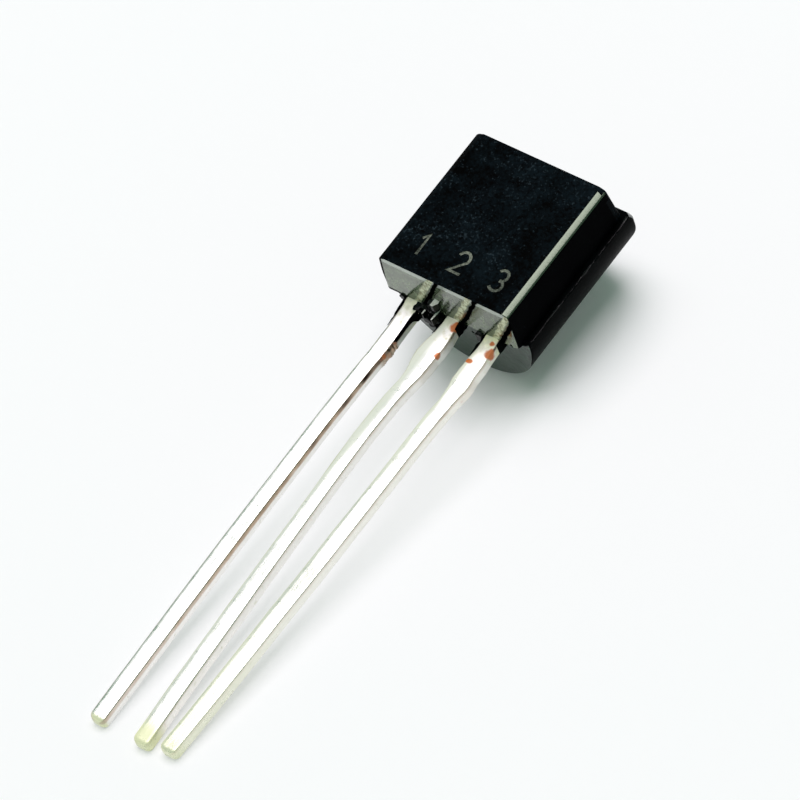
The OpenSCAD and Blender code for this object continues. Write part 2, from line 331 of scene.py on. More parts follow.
place = case_millimetres(end_tree)
axes = add(end_tree, "ShaderNodeSeparateXYZ", {"Vector": place})
leaning = add(end_tree, "ShaderNodeMath", {
    0: axes.outputs["Z"], 1: -STREAK_LEAN, 2: axes.outputs["X"],
}, operation="MULTIPLY_ADD").outputs[0]
from_lead = add(end_tree, "ShaderNodeMath", {
    0: leaning, 1: PITCH / 2, 2: -PITCH / 2,
}, operation="WRAP")
rags = add(end_tree, "ShaderNodeTexNoise", {"Vector": place, "Scale": RAGS_PER_MM, "Detail": 2.0})
ragged = add(end_tree, "ShaderNodeMath", {
    0: rags.outputs["Fac"], 1: RAG, 2: from_lead.outputs[0],
}, operation="MULTIPLY_ADD").outputs[0]
near_exits = add(end_tree, "ShaderNodeMath", {
    0: axes.outputs["Y"], 1: EXITS_BELOW,
}, operation="LESS_THAN")
not_left = add(end_tree, "ShaderNodeMath", {0: leaning, 1: -1.5 * PITCH}, operation="GREATER_THAN")
by_leads = add(end_tree, "ShaderNodeMath", {
    0: near_exits.outputs[0], 1: not_left.outputs[0],
}, operation="MULTIPLY").outputs[0]


def reflection_band(centre, half):
    """A band of painted reflection round one place of the slanted coordinate: 1 inside it, 0 outside.
    """
    off = add(end_tree, "ShaderNodeMath", {0: ragged, 1: centre}, operation="SUBTRACT")
    off = add(end_tree, "ShaderNodeMath", {0: off.outputs[0]}, operation="ABSOLUTE")
    band = add(end_tree, "ShaderNodeMapRange", {
        "Value": off.outputs[0], "From Min": half - SOFT, "From Max": half + SOFT,
        "To Min": 1.0, "To Max": 0.0,
    })
    return add(end_tree, "ShaderNodeMath", {
        0: band.outputs["Result"], 1: by_leads,
    }, operation="MULTIPLY").outputs[0]


# Painted reflection of each lead, and below it of the lead's dark side, to its right.
mirrored_lead = reflection_band(MIRRORED_LEAD_AT, MIRRORED_LEAD_HALF)
tear = reflection_band(MIRRORED_SIDE_AT, MIRRORED_SIDE_HALF)
print("streaks every", PITCH, "mm")

# %% [markdown]
# ## Painted highlight and shade at the end face's rim
# A pale band along the upper edge, where the two mould faces meet, is a painted highlight of the
# rounded edge. At the left edge, and at the lower edge beside it, a narrow black rim is painted shade.

# %% Rims of the end face
EDGE_HIGHLIGHT_W, RIM_W, RIM_SOFT, RIM_TO_X = 0.155, 0.09, 0.015, -1.45
# Pale band along the upper edge: a painted highlight.
painted_edge_highlight = add(end_tree, "ShaderNodeMapRange", {
    "Value": axes.outputs["Z"],
    "From Min": FRONT_DEPTH - EDGE_HIGHLIGHT_W - 0.025, "From Max": FRONT_DEPTH - EDGE_HIGHLIGHT_W + 0.025,
})
from_left = add(end_tree, "ShaderNodeMath", {
    0: axes.outputs["Z"], 1: -math.tan(FRONT_SIDE_DRAFT), 2: axes.outputs["X"],
}, operation="MULTIPLY_ADD")
from_left = add(end_tree, "ShaderNodeMath", {
    0: from_left.outputs[0], 1: FRONT_W / 2,
}, operation="ADD")
by_lead = add(end_tree, "ShaderNodeMath", {0: axes.outputs["X"], 1: RIM_TO_X}, operation="GREATER_THAN")
from_low = add(end_tree, "ShaderNodeMath", {
    0: by_lead.outputs[0], 1: axes.outputs["Z"],
}, operation="ADD")
from_rim = add(end_tree, "ShaderNodeMath", {
    0: from_left.outputs[0], 1: from_low.outputs[0],
}, operation="MINIMUM")
# Black rim at the left and lower edge: painted shade.
rim = add(end_tree, "ShaderNodeMapRange", {
    "Value": from_rim.outputs[0], "From Min": RIM_W - RIM_SOFT, "From Max": RIM_W + RIM_SOFT,
    "To Min": 1.0, "To Max": 0.0,
})
# All the black painted on the end face: the mirrored dark sides of the leads and the rim of shade.
painted_dark = add(end_tree, "ShaderNodeMath", {
    0: tear, 1: rim.outputs["Result"],
}, operation="MAXIMUM").outputs[0]
# The width printed as wax is the painted highlight's, and the bare rim is painted shade.
print("wax", EDGE_HIGHLIGHT_W, "mm, bare rim", RIM_W, "mm")

# %% [markdown]
# ## The end face's colour and gloss
# The layers go on in this order: the painted sheen of the base, the painted highlight along the
# upper edge, the painted reflection of each lead, and the black painted shade last. The pale
# reflection is mottled by noise. Where the black is painted, the coat and the shine are taken away.

# %% Layers of the end face
COAT, BLOTCHES_PER_MM = 0.8, 9.0
# Pale olive colour of the painted lead reflection, mottled by noise.
blotches = add(end_tree, "ShaderNodeTexNoise", {
    "Vector": place, "Scale": BLOTCHES_PER_MM, "Detail": 3.0,
})
thick = add(end_tree, "ShaderNodeMapRange", {
    "Value": blotches.outputs["Fac"], "From Min": 0.35, "From Max": 0.6,
})
mirrored_lead_colour = add(end_tree, "ShaderNodeMix", {
    0: thick.outputs["Result"], 6: linear("#8E826A"), 7: linear("#EAE0CC"),
}, data_type="RGBA")
layers = end_shader.inputs["Base Color"].links[0].from_socket
for share, colour in (
    (painted_edge_highlight.outputs["Result"], linear("#B4B2B8")),
    (mirrored_lead, mirrored_lead_colour.outputs[2]),
    (painted_dark, linear("#030303")),
):
    layers = add(end_tree, "ShaderNodeMix", {
        0: share, 6: layers, 7: colour,
    }, data_type="RGBA").outputs[2]
coat, gloss = (
    add(end_tree, "ShaderNodeMath", {0: painted_dark, 1: -full, 2: full}, operation="MULTIPLY_ADD").outputs[0]
    for full in (COAT, 1.0)
)
feed(end_tree, end_shader, {"Base Color": layers, "Coat Weight": coat, "Specular IOR Level": gloss})
print(end_epoxy.name, "with", len(end_tree.nodes), "nodes")

# %% [markdown]
# ## Broken resin and laser marks
# Where resin has leaked out between two leads it is snapped off and leaves small glassy faces. A few
# clean breaks run through the silica filler, and their near-white colour is a painted glint. A laser
# mark is the epoxy's skin burnt off: a pale olive grey, dusty and dotted, with no shine.

# %% Chipped, broken and laser-marked epoxy
# The near-white broken filler is a painted glint.
chipped_epoxy, broken_filler_glint_epoxy, marked_epoxy = (
    epoxy(name, colours, rough, bump_mm, {"Specular IOR Level": shine}, DUST_MM)[0]
    for name, colours, rough, bump_mm, shine in (
        ("epoxy_chipped_flash", ("#030404", "#0C0E0F"), (0.12, 0.3), 0.004, 0.2),
        ("epoxy_broken_filler_painted_glint", ("#B9BBB0", "#F4F4EE"), (0.4, 0.6), 0.004, 0.3),
        ("epoxy_laser_burnt", ("#3A3E38", "#8E9284"), (0.8, 0.95), 0.006, 0.1),
    )
)
CASE_MATERIALS = [
    matt_epoxy, bevel_epoxy, end_epoxy, back_end_epoxy, side_epoxy, round_epoxy, chipped_epoxy,
    marked_epoxy, broken_filler_glint_epoxy,
]
MATT, BEVEL, END, BACK_END, SIDE, ROUND, CHIPPED, MARKED, BROKEN_GLINT = range(len(CASE_MATERIALS))
print(len(CASE_MATERIALS), "epoxy finishes")

# %% [markdown]
# ## Sections with rounded corners
# Moulds are cut with small corner radii, and it is those radii that catch the light. The section of
# each half is drawn as corners with a radius, and arcs. Each point also keeps its outward direction,
# because the end of the case is rounded by drawing the section in along it.

# %% Section helper
def on_circle(cx, cz, r, degrees):
    """A point of a circle, and the direction from its centre."""
    a = math.radians(degrees)
    return Vector((cx + r * math.cos(a), cz + r * math.sin(a))), Vector((math.cos(a), math.sin(a)))


def rounded_corner(part, before, after, steps):
    """Points and normals round one corner (x, z, radius) between its two neighbours."""
    corner, r = Vector(part[:2]), part[2]
    start = on_circle(*before[:3], before[4])[0] if len(before) == 6 else Vector(before[:2])
    stop = on_circle(*after[:3], after[3])[0] if len(after) == 6 else Vector(after[:2])
    into, out = (corner - start).normalized(), (stop - corner).normalized()
    turn = math.atan2(into.x * out.y - into.y * out.x, into.dot(out))
    centre = corner - into * r * math.tan(turn / 2) + Vector((-into.y, into.x)) * r
    first = math.atan2(-into.x, into.y)
    normals = [
        Vector((math.cos(first + turn * i / steps), math.sin(first + turn * i / steps)))
        for i in range(steps + 1)
    ]
    return [(centre + n * r, n) for n in normals]


def section_points(parts, steps=4, spacing=0.2):
    """Points and outward normals round a closed section, from corners and arcs.

    An arc is (x, z, radius, start, stop, steps); long straight edges get points of their own."""
    found = []
    for k, part in enumerate(parts):
        if len(part) == 6:
            cx, cz, r, start, stop, n = part
            found += [on_circle(cx, cz, r, start + (stop - start) * i / n) for i in range(n + 1)]
        else:
            found += rounded_corner(part, parts[k - 1], parts[(k + 1) % len(parts)], steps)
    spread = []
    for k, (p, n) in enumerate(found):
        q, m = found[(k + 1) % len(found)]
        spread.append((p, n))
        pieces = int((q - p).length / spacing) + 1
        for i in range(1, pieces):
            spread.append((p.lerp(q, i / pieces), n.lerp(m, i / pieces).normalized()))
    return spread


square = [(1, 0, 0.1), (1, 1, 0.1), (0, 1, 0.1), (0, 0, 0.1)]
print("a square with round corners has", len(section_points(square)), "points")

# %% [markdown]
# ## One moulded half
# The section runs the whole length of the case. Each ring leans with the draft that lets the half
# leave its mould. Towards the two ends the section is drawn in along a quarter circle, which rounds
# the edges. The upright corners have a larger radius of their own.

# %% A drafted, rounded half
EDGE_STEPS = 6
CORNER_FROM, CORNER_FULL = 0.86, 0.99  # shares of half the width


def moulded_half(name, section, half_w, edge_r, corner_of, start_of, stop_of, finish, shift, along):
    """Rings of the section from one end face to the other, in the case's axes.

    corner_of gives the upright corners' radius at a height, start_of and stop_of the end faces."""
    rings = []
    for k in range(-EDGE_STEPS, along + EDGE_STEPS + 1):
        at_start, at_end = k <= 0, k >= along
        share = (k + EDGE_STEPS) / EDGE_STEPS if at_start else (along + EDGE_STEPS - k) / EDGE_STEPS
        a = math.pi / 2 * min(1.0, share)
        drawn_in, run = 1 - math.sin(a), 1 - math.cos(a)
        ring = []
        for p, n in section:
            corner = corner_of(p.y, at_end)
            side = smooth_step(CORNER_FROM, CORNER_FULL, abs(p.x) / half_w)
            near, far = (
                edge_r + max(0.0, corner_of(p.y, end) - edge_r) * side for end in (False, True)
            )
            x = p.x * (1 - corner * drawn_in / half_w) - n.x * edge_r * drawn_in
            z = p.y - n.y * edge_r * drawn_in
            low, high = start_of(z), stop_of(z)
            if at_start:
                y = low + near * run
            elif at_end:
                y = high - far * run
            else:
                y = (low + near) * (1 - k / along) + (high - far) * k / along
            ring.append((x + shift[0], y + shift[1], z))
        rings.append(ring[::-1])
    return ring_solid(name, rings, CASE_MATERIALS, finish)


print("each edge is rounded in", EDGE_STEPS, "steps")

# %% [markdown]
# ## Flat half
# The front plate of the mould is a trapezium with a bevel along both long edges. Its sides lean in by
# 3.5 degrees and its ends by 5. Each face takes its finish from the way it looks: the ends and the
# right bevel are polished, the flat and the left bevel are matt, and the sides are worn. At the far
# end the bevel fades into the matt skin.

# %% Build the flat half
FRONT_EDGE_R, FRONT_CORNER_R, FAR_CORNER_R = 0.03, 0.14, 0.1
BEVEL_STOP = 0.25

# Corners are (x, z, radius), and arcs (x, z, radius, start, stop, steps), round the section.
side_x = FRONT_W / 2 - math.tan(FRONT_SIDE_DRAFT) * (FRONT_DEPTH - BEVEL_DEPTH)
front_section = section_points([
    (FRONT_W / 2, 0.0, 0.015),
    (side_x + 0.01, FRONT_DEPTH - 0.07, 0.09),
    (side_x + 0.02 - BEVEL_W, FRONT_DEPTH, 0.22),
    (BEVEL_W - side_x, FRONT_DEPTH, 0.08),
    (-side_x, FRONT_DEPTH - BEVEL_DEPTH, 0.05),
    (-FRONT_W / 2, 0.0, 0.015),
])


def flat_half_finish(face):
    """Polished ends and right bevel, matt flat and left bevel, worn sides."""
    normal = face.normal
    if abs(normal.y) > 0.8:
        return END
    on_flat = normal.z > 0.985 or (normal.z > 0.5 and normal.x < 0.1)
    if on_flat or face.center.y > CASE_LEN - BEVEL_STOP:
        return MATT
    return BEVEL if normal.z > 0.5 else SIDE


flat_half = moulded_half(
    "flat_half", front_section, FRONT_W / 2, FRONT_EDGE_R,
    lambda z, far: FAR_CORNER_R if far else FRONT_CORNER_R * (1 - smooth_step(0.0, 0.9, z)),
    lambda z: math.tan(FRONT_END_DRAFT) * z,
    lambda z: CASE_LEN - math.tan(FRONT_END_DRAFT) * z,
    flat_half_finish, (0.0, 0.0), 36,
)
print("flat half:", len(flat_half.data.polygons), "faces")

# %% [markdown]
# ## Round half
# The back plate of the mould is a half round channel with a short straight wall. It sits out of line
# with the front plate, and its far end swells a little. It reaches a few thousandths of a millimetre
# past the parting plane, so that the two halves overlap and join cleanly.

# %% Build the round half
OVERLAP, SWELL = 0.003, 0.12
BACK_EDGE_R, BACK_CORNER_R, BACK_FAR_CORNER_R = 0.04, 0.14, 0.18


def far_end_of_back(z):
    """The far end face's place at a height: its draft, and the swelling between rim and bottom."""
    swell = SWELL * smooth_step(0.02, -0.28, z) * smooth_step(-2.2, -1.0, z)
    return CASE_LEN + math.tan(BACK_END_DRAFT) * z + swell


back_section = section_points([
    (0.0, -BACK_STRAIGHT, BACK_R, 180, 360, 64),
    (BACK_R, OVERLAP, 0.03),
    (-BACK_R, OVERLAP, 0.03),
])
round_half = moulded_half(
    "round_half", back_section, BACK_R, BACK_EDGE_R,
    lambda z, far: (BACK_FAR_CORNER_R if far else BACK_CORNER_R) * smooth_step(-1.2, -0.1, z),
    lambda z: -math.tan(BACK_END_DRAFT) * z,
    far_end_of_back,
    lambda face: BACK_END if abs(face.normal.y) > 0.6 else ROUND,
    (SHIFT_X, SHIFT_Y), 18,
)
print("round half:", len(round_half.data.polygons), "faces")

# %% [markdown]
# ## Joining and cutting with Booleans
# The Boolean modifier is the workshop's glue and its end mill. Each tool is a closed mesh, the
# Manifold solver is exact enough for parts this small, and the result is written back into the
# mesh at once, so that no hidden helper object is left in the scene.

# %% Boolean helper
def cut_or_join(piece, tools, operation):
    """Applies each tool to the piece and removes it from the scene."""
    for tool in tools:
        step = piece.modifiers.new("step", "BOOLEAN")
        step.operation, step.solver, step.object = operation, "MANIFOLD", tool
        graph = bpy.context.evaluated_depsgraph_get()
        made = bpy.data.meshes.new_from_object(piece.evaluated_get(graph), depsgraph=graph)
        piece.modifiers.clear()
        piece.data, old = made, piece.data
        bpy.data.meshes.remove(old)
        bpy.data.objects.remove(tool)
    return piece


case = cut_or_join(flat_half, [round_half], "UNION")
print("joined case:", len(case.data.polygons), "faces")

# %% [markdown]
# ## Ejector mark
# A pin in the mould pushes the finished case out and leaves a shallow round dish in the back.

# %% Press the ejector mark into the back
EJECTOR_D, EJECTOR_DEPTH, ROUNDING = 1.2, 0.11, 0.02


def round_tool(name, centre, profile, sides):
    """A turned tool about an upright axis, from (radius, height) pairs."""
    turns = [2 * math.pi * i / sides for i in range(sides)]
    return ring_solid(name, [
        [(centre[0] + r * math.cos(a), centre[1] + r * math.sin(a), z) for a in turns]
        for r, z in profile
    ], CASE_MATERIALS, SIDE)


back_z = -BACK_STRAIGHT - BACK_R
pin = round_tool("pin", (SHIFT_X, SHIFT_Y + CASE_LEN / 2), [
    (EJECTOR_D / 2 + ROUNDING, back_z - 0.5),
    (EJECTOR_D / 2 + ROUNDING, back_z + 0.05),
    (EJECTOR_D / 2 - ROUNDING, back_z + EJECTOR_DEPTH - ROUNDING),
    (EJECTOR_D / 2 - 0.05, back_z + EJECTOR_DEPTH),
], 48)
cut_or_join(case, [pin], "DIFFERENCE")
print("with the ejector mark:", len(case.data.polygons), "faces")

# %% [markdown]
# ## Flash along the ledge
# Resin creeps between the mould plates and leaves a thin ragged fin along the parting line. It is a
# low bead on the ledge's outer edge whose height comes and goes, so it catches the light in dashes.

# %% Ragged bead of flash
FLASH_H, FLASH_W, FLASH_STEP, FLASH_SEED = 0.05, 0.045, 0.03, 3.7


def ragged_bead(name, start, stop, out, height, width, seed):
    """A closed bead from start to stop, on the parting plane, its height broken by noise."""
    start, stop, out = Vector(start), Vector(stop), Vector(out)
    count = max(6, int((stop - start).length / FLASH_STEP))
    rings = []
    for k in range(count + 1):
        place = start.lerp(stop, k / count)
        coarse = noise.noise(Vector((place.y * 1.7 + seed, place.x * 1.7, seed)))
        fine = noise.noise(Vector((place.y * 5 + seed, place.x * 5, 2 * seed)))
        end = smooth_step(0, 4, min(k, count - k))
        h = max(0.003, height * (0.35 + 1.5 * coarse + 0.6 * fine)) * end
        w = max(0.01, width * (0.7 + 0.8 * fine + 0.5 * coarse)) * (0.3 + 0.7 * end)
        rings.append([place + out * across + Vector((0, 0, up)) for across, up in (
            (-0.05, -0.02), (w * 0.5, -0.02), (w, 0.0), (w * 0.7, h * 0.7), (w * 0.2, h),
            (-0.03, h * 0.5), (-0.05, 0.0),
        )])
    return ring_solid(name, rings, CASE_MATERIALS, CHIPPED)


ledge_x = SHIFT_X + BACK_R - 0.03
flash = ragged_bead(
    "flash", (ledge_x, 0.3, OVERLAP), (ledge_x, 4.7, OVERLAP), (1, 0, 0), FLASH_H, FLASH_W, FLASH_SEED,
)
cut_or_join(case, [flash], "UNION")
print("with flash:", len(case.data.polygons), "faces")

# %% [markdown]
# ## Resin between two leads
# Before moulding, the lead frame is clamped, and some resin still leaks out between the first two
# leads. It is broken off by hand and leaves a black, glassy, torn lump. It starts as a block of
# rings and is torn by noise, and its faces stay flat so that they glint like broken glass. Two
# small black nibs stand by the leads' other sides, under the overhang by the third lead and at the
# lower edge by the first, and they are partly painted shade.

# %% Torn lumps of resin
def torn_lump(name, low, high, tear, seed, steps):
    """A block from low to high, smaller and more torn by noise towards its free end."""
    low, high = Vector(low), Vector(high)
    nx, ny, nz = steps
    outline = (
        [(i / nx, 0.0) for i in range(nx)] + [(1.0, i / nz) for i in range(nz)]
        + [(1 - i / nx, 1.0) for i in range(nx)] + [(0.0, 1 - i / nz) for i in range(nz)]
    )
    rings = []
    for k in range(ny + 1):
        t = k / ny
        edge = 1 - 0.25 * (1 - smooth_step(0, 0.5, t))
        ring = []
        for u, w in outline:
            p = Vector((
                low.x + (high.x - low.x) * (0.5 + (u - 0.5) * edge),
                low.y + (high.y - low.y) * t,
                low.z + (high.z - low.z) * (0.5 + (w - 0.5) * edge),
            ))
            q = p * 6 + Vector((seed, 0, 0))
            push = Vector([noise.noise(q + Vector(a)) for a in ((0, 0, 0), (9, 0, 0), (0, 9, 0))])
            cells = noise.cell_vector(p * 9 + Vector((0, 0, seed))) - Vector((0.5, 0.5, 0.5))
            ring.append(p + (push + cells * 0.7) * tear * (1 - 0.7 * t))
        rings.append(ring)
    return ring_solid(name, rings, CASE_MATERIALS, CHIPPED)


web = [torn_lump("web", *row) for row in (
    ((-1.06, -0.2, -0.34), (-0.62, 0.3, -0.03), 0.08, 5.2, (12, 9, 7)),
    ((-0.8, -0.3, -0.3), (-0.34, 0.3, -0.05), 0.09, 8.4, (12, 9, 7)),
    ((-0.56, -0.12, -0.25), (-0.2, 0.3, 0.02), 0.06, 2.9, (8, 7, 6)),
    ((-0.98, -0.12, -0.12), (-0.5, 0.3, 0.1), 0.06, 6.6, (8, 7, 5)),
    ((-0.68, -0.1, -0.04), (-0.32, 0.3, 0.46), 0.06, 4.1, (7, 6, 7)),
    ((-1.15, -0.24, -0.1), (-0.92, 0.3, 0.05), 0.04, 7.7, (6, 7, 4)),
)]
# Black nibs, partly painted shade beside the first and third leads.
shade_nibs = [torn_lump("nib", *row) for row in (
    ((0.8, -0.1, -0.33), (1.03, 0.3, -0.0), 0.04, 1.3, (6, 6, 5)),
    ((-1.7, -0.06, -0.16), (-1.52, 0.3, 0.07), 0.04, 3.3, (5, 6, 5)),
)]
print(len(web), "lumps and", len(shade_nibs), "shade_nibs")

# %% [markdown]
# ## Clean breaks
# Three chips in the torn lump broke clean. Each is a small wedge whose top leans like the bevel,
# so it catches the same light, and its top has the pale colour of broken filler as a painted glint.

# %% Flakes with one bright face
FLAKE_SLOPE, FLAKE_DEPTH = 0.22, 0.25


def flake(x, y, z, width, length):
    """A chip of resin, narrow at its tip, with one clean face on top, whose pale colour is a painted
    glint.
    """
    rings = []
    for at, size in ((y, 0.55), (y + length * 0.6, 1.1), (y + length, 1.0)):
        right = x + width * size
        rings.append([
            (x, at, z), (right, at, z - FLAKE_SLOPE * width * size),
            (right, at, z - FLAKE_DEPTH), (x, at, z - FLAKE_DEPTH),
        ])
    return ring_solid(
        "flake", rings, CASE_MATERIALS, lambda face: BROKEN_GLINT if face.normal.z > 0.6 else CHIPPED,
    )


flakes = [flake(*row) for row in (
    (-0.43, -0.17, 0.56, 0.14, 0.25),
    (-0.39, -0.36, 0.17, 0.055, 0.45),
    (-0.78, -0.28, 0.09, 0.05, 0.4),
)]
cut_or_join(case, web + shade_nibs + flakes, "UNION")
print("with torn resin:", len(case.data.polygons), "faces")

# %% [markdown]
# ## Where the leads' edges run
# After moulding, the bar that joins the three leads is cut away by punches, and each cut leaves the
# edge a little in or out, so no two shoulders are alike. The table holds both edges of each lead
# along its way. The films below follow it, and so do the leads further down.

# %% The cut edges of the leads
# (place along, reach to the left, reach to the right) from the strip's middle.
EDGES = {
    "emitter_lead": [
        (0.06, 0.225, 0.26), (-0.54, 0.19, 0.275), (-0.86, 0.16, 0.28), (-1.25, 0.16, 0.3),
        (-1.85, 0.155, 0.3), (-2.16, 0.175, 0.28), (-2.7, 0.2, 0.265), (-4.0, 0.225, 0.235),
        (-6.7, 0.25, 0.22), (-9.4, 0.265, 0.22), (-14.1, 0.25, 0.22),
    ],
    "base_lead": [
        (0.06, 0.16, 0.23), (-0.54, 0.2, 0.34), (-0.86, 0.26, 0.36), (-1.2, 0.3, 0.345),
        (-1.5, 0.26, 0.345), (-1.67, 0.21, 0.335), (-1.85, 0.17, 0.33), (-2.16, 0.16, 0.28),
        (-2.7, 0.225, 0.225), (-4.0, 0.28, 0.185), (-5.4, 0.25, 0.195), (-6.7, 0.23, 0.215),
        (-9.4, 0.24, 0.24), (-14.1, 0.25, 0.24),
    ],
    "collector_lead": [
        (0.06, 0.15, 0.29), (-0.54, 0.15, 0.33), (-0.86, 0.18, 0.365), (-1.2, 0.185, 0.365),
        (-1.5, 0.185, 0.4), (-1.67, 0.14, 0.4), (-1.85, 0.125, 0.37), (-2.16, 0.1, 0.34),
        (-2.7, 0.165, 0.3), (-4.0, 0.2, 0.25), (-5.4, 0.235, 0.23), (-6.7, 0.27, 0.22),
        (-9.4, 0.3, 0.2), (-14.1, 0.27, 0.22),
    ],
}


def width_at(node, y, side):
    """The strip's reach to one side of its middle."""
    rows = sorted(EDGES[node])
    return float(np.interp(y, [r[0] for r in rows], [r[2 if side > 0 else 1] for r in rows]))


print("lead 1 reaches", width_at("emitter_lead", -1.0, -1), "mm to the left at the dam bar")

# %% [markdown]
# ## Resin film and painted shade on the leads' sides
# Past the torn lumps a thin black skin of resin still clings to the cut sides of the leads, thickest
# at the case and gone by the shoulder. It is partly painted shade: it darkens the sides where shade
# falls next to the case, and the end face mirrors it. Each film is a ragged bead like the flash, set
# on the side, and where it leaves the case it may draw up from the strip's underside.

# %% Ragged films
FILM_FROM, FILM_STEP, FILM_SINK = 0.2, 0.03, 0.05


def side_shade_film(lead, side, y_stop, thick, seed, low=-LEAD_T):
    """A tapering ragged black skin, partly painted shade, on one cut side of a lead, from inside the
    case out to y_stop.
    """
    count = int((FILM_FROM - y_stop) / FILM_STEP)
    rings = []
    for k in range(count + 1):
        t = k / count
        y = FILM_FROM + (y_stop - FILM_FROM) * t
        fine = noise.noise(Vector((y * 7 + seed, seed, 0)))
        coarse = noise.noise(Vector((y * 2.3, seed, 3)))
        w = max(0.006, thick * (1 - t ** 2) * (0.85 + 0.9 * fine + 0.7 * coarse))
        x = LEAD_X[lead] + side * width_at(lead, min(y, 0.0), side)
        wall = x - side * FILM_SINK * (1 - 0.8 * t)
        bottom = -LEAD_T + (low + LEAD_T) * smooth_step(-0.25, -0.55, y)
        top = 0.012 + 0.02 * noise.noise(Vector((y * 5, seed, 9)))
        tall = top - bottom
        rings.append([
            (wall, y, bottom), (x + side * w * 0.7, y, bottom), (x + side * w, y, bottom + tall * 0.35),
            (x + side * w * (0.8 + 0.5 * fine), y, bottom + tall * 0.7), (x + side * w * 0.6, y, top),
            (wall, y, top),
        ])
    return ring_solid("shade_film", rings, CASE_MATERIALS, SIDE)


# Black films, partly painted shade beside the leads near the case.
shade_films = [side_shade_film(*row) for row in (
    ("emitter_lead", 1, -1.28, 0.045, 4.4, -0.13),
    ("emitter_lead", -1, -0.95, 0.085, 2.2, -0.2),
    ("base_lead", -1, -0.6, 0.06, 9.8),
    ("base_lead", 1, -0.24, 0.075, 6.1),
    ("collector_lead", -1, -0.7, 0.11, 7.1),
    ("collector_lead", 1, -0.16, 0.04, 8.7),
)]
cut_or_join(case, shade_films, "UNION")
print("with films:", len(case.data.polygons), "faces")

# %% [markdown]
# ## Pits
# Air bubbles in the resin leave a few round pits in the end faces. Each is cut with a small ball.

# %% Press the pits
# (x, y, z, radius) of each bubble.
PITS = [
    (1.96, 0.0, 0.06, 0.05), (0.48, 0.0, 0.09, 0.045), (0.36, 0.17, -0.62, 0.05),
    (-1.72, 0.0, 0.5, 0.03),
]
quarters = [math.pi * k / 8 for k in range(1, 8)]
balls = [
    round_tool("pit", (x, y), [(r * math.sin(a), z - r * math.cos(a)) for a in quarters], 12)
    for x, y, z, r in PITS
]
cut_or_join(case, balls, "DIFFERENCE")
print("with pits:", len(case.data.polygons), "faces")

# %% [markdown]
# ## Pin numbers
# The flat carries plain pin numbers, each in line with its own lead, so that the leads can be told
# apart. A laser writes them as strokes of one width, so each stroke is a ribbon that is cut a
# hundredth of a millimetre deep, and the cut keeps the burnt finish.

# %% Strokes of the numbers
DIGIT_H, DIGIT_W, DIGIT_Y = 0.66, 0.42, 0.62
STROKE_W, MARK_DEPTH, MARK_ABOVE = 0.085, 0.012, 0.1


def arc(cx, cy, rx, ry, start, stop, n=12):
    """Points along an arc, in degrees, in the square that a number is drawn in."""
    turns = [math.radians(start + (stop - start) * i / n) for i in range(n + 1)]
    return [(cx + rx * math.cos(a), cy + ry * math.sin(a)) for a in turns]


DIGITS = {
    "1": [[(0.22, 0.76), (0.55, 1.0), (0.55, 0.0)]],
    "2": [arc(0.5, 0.7, 0.42, 0.3, 165, -20) + [(0.06, 0.0), (0.96, 0.0)]],
    "3": [arc(0.46, 0.74, 0.38, 0.26, 150, -90), arc(0.46, 0.26, 0.44, 0.26, 90, -150)],
}


def stroke_tool(line, x, y):
    """A ribbon along one stroke, standing through the flat; x is the number's middle, y its foot."""
    path = [Vector((x + (u - 0.5) * DIGIT_W, y + v * DIGIT_H)) for u, v in line]
    low, high = FRONT_DEPTH - MARK_DEPTH, FRONT_DEPTH + MARK_ABOVE
    rings = []
    for k, p in enumerate(path):
        before = (p - path[k - 1]).normalized() if k else None
        after = (path[k + 1] - p).normalized() if k < len(path) - 1 else None
        along = ((before or after) + (after or before)).normalized()
        grow = 1 / max(0.5, along.dot(before or after))
        side = Vector((-along.y, along.x)) * STROKE_W / 2 * grow
        a, b = p + side, p - side
        rings.append([(a.x, a.y, low), (a.x, a.y, high), (b.x, b.y, high), (b.x, b.y, low)])
    return ring_solid("stroke", rings, CASE_MATERIALS, MARKED)


strokes = [
    stroke_tool(line, LEAD_X[lead], DIGIT_Y)
    for digit, lead in zip("123", LEAD_X)
    for line in DIGITS[digit]
]
cut_or_join(case, strokes, "DIFFERENCE")
print("with pin numbers:", len(case.data.polygons), "faces")

# %% [markdown]
# ## Room for what the resin holds
# The lead frame, the chip and the bond wires are sealed in the case. Copies of their CAD meshes are
# cut out of it, so the moulding is a true shell round them and nothing overlaps. The same helper
# can keep only the part of a copy beyond one plane, which the leads need further down.

# %% Cut the room for the lead frame, chip and wires
WELD_MM = 1e-5


def cad_copy(node, materials, finish, cut_y=None):
    """A copy of a CAD node in the case's axes; with cut_y, its part inside the case, closed there."""
    mesh = frame["nodes"][node].data.copy()
    mesh.transform(stand_up)
    work = bmesh.new()
    work.from_mesh(mesh)
    bmesh.ops.remove_doubles(work, verts=work.verts, dist=WELD_MM)
    if cut_y is not None:
        cut = bmesh.ops.bisect_plane(
            work, geom=work.verts[:] + work.edges[:] + work.faces[:],
            plane_co=(0, cut_y, 0), plane_no=(0, -1, 0), clear_outer=True,
        )
        open_edges = [g for g in cut["geom_cut"] if isinstance(g, bmesh.types.BMEdge)]
        bmesh.ops.contextual_create(work, geom=open_edges)
        bmesh.ops.recalc_face_normals(work, faces=work.faces)
    work.to_mesh(mesh)
    work.free()
    mesh.materials.clear()
    for material in materials:
        mesh.materials.append(material)
    for face in mesh.polygons:
        face.material_index = finish
    return put(node + "_copy", mesh)


SEALED = [*LEAD_X, "die_attach", "die", "emitter_bond_wire", "base_bond_wire"]
cut_or_join(case, [cad_copy(node, CASE_MATERIALS, SIDE) for node in SEALED], "DIFFERENCE")
print("hollowed case:", len(case.data.polygons), "faces")

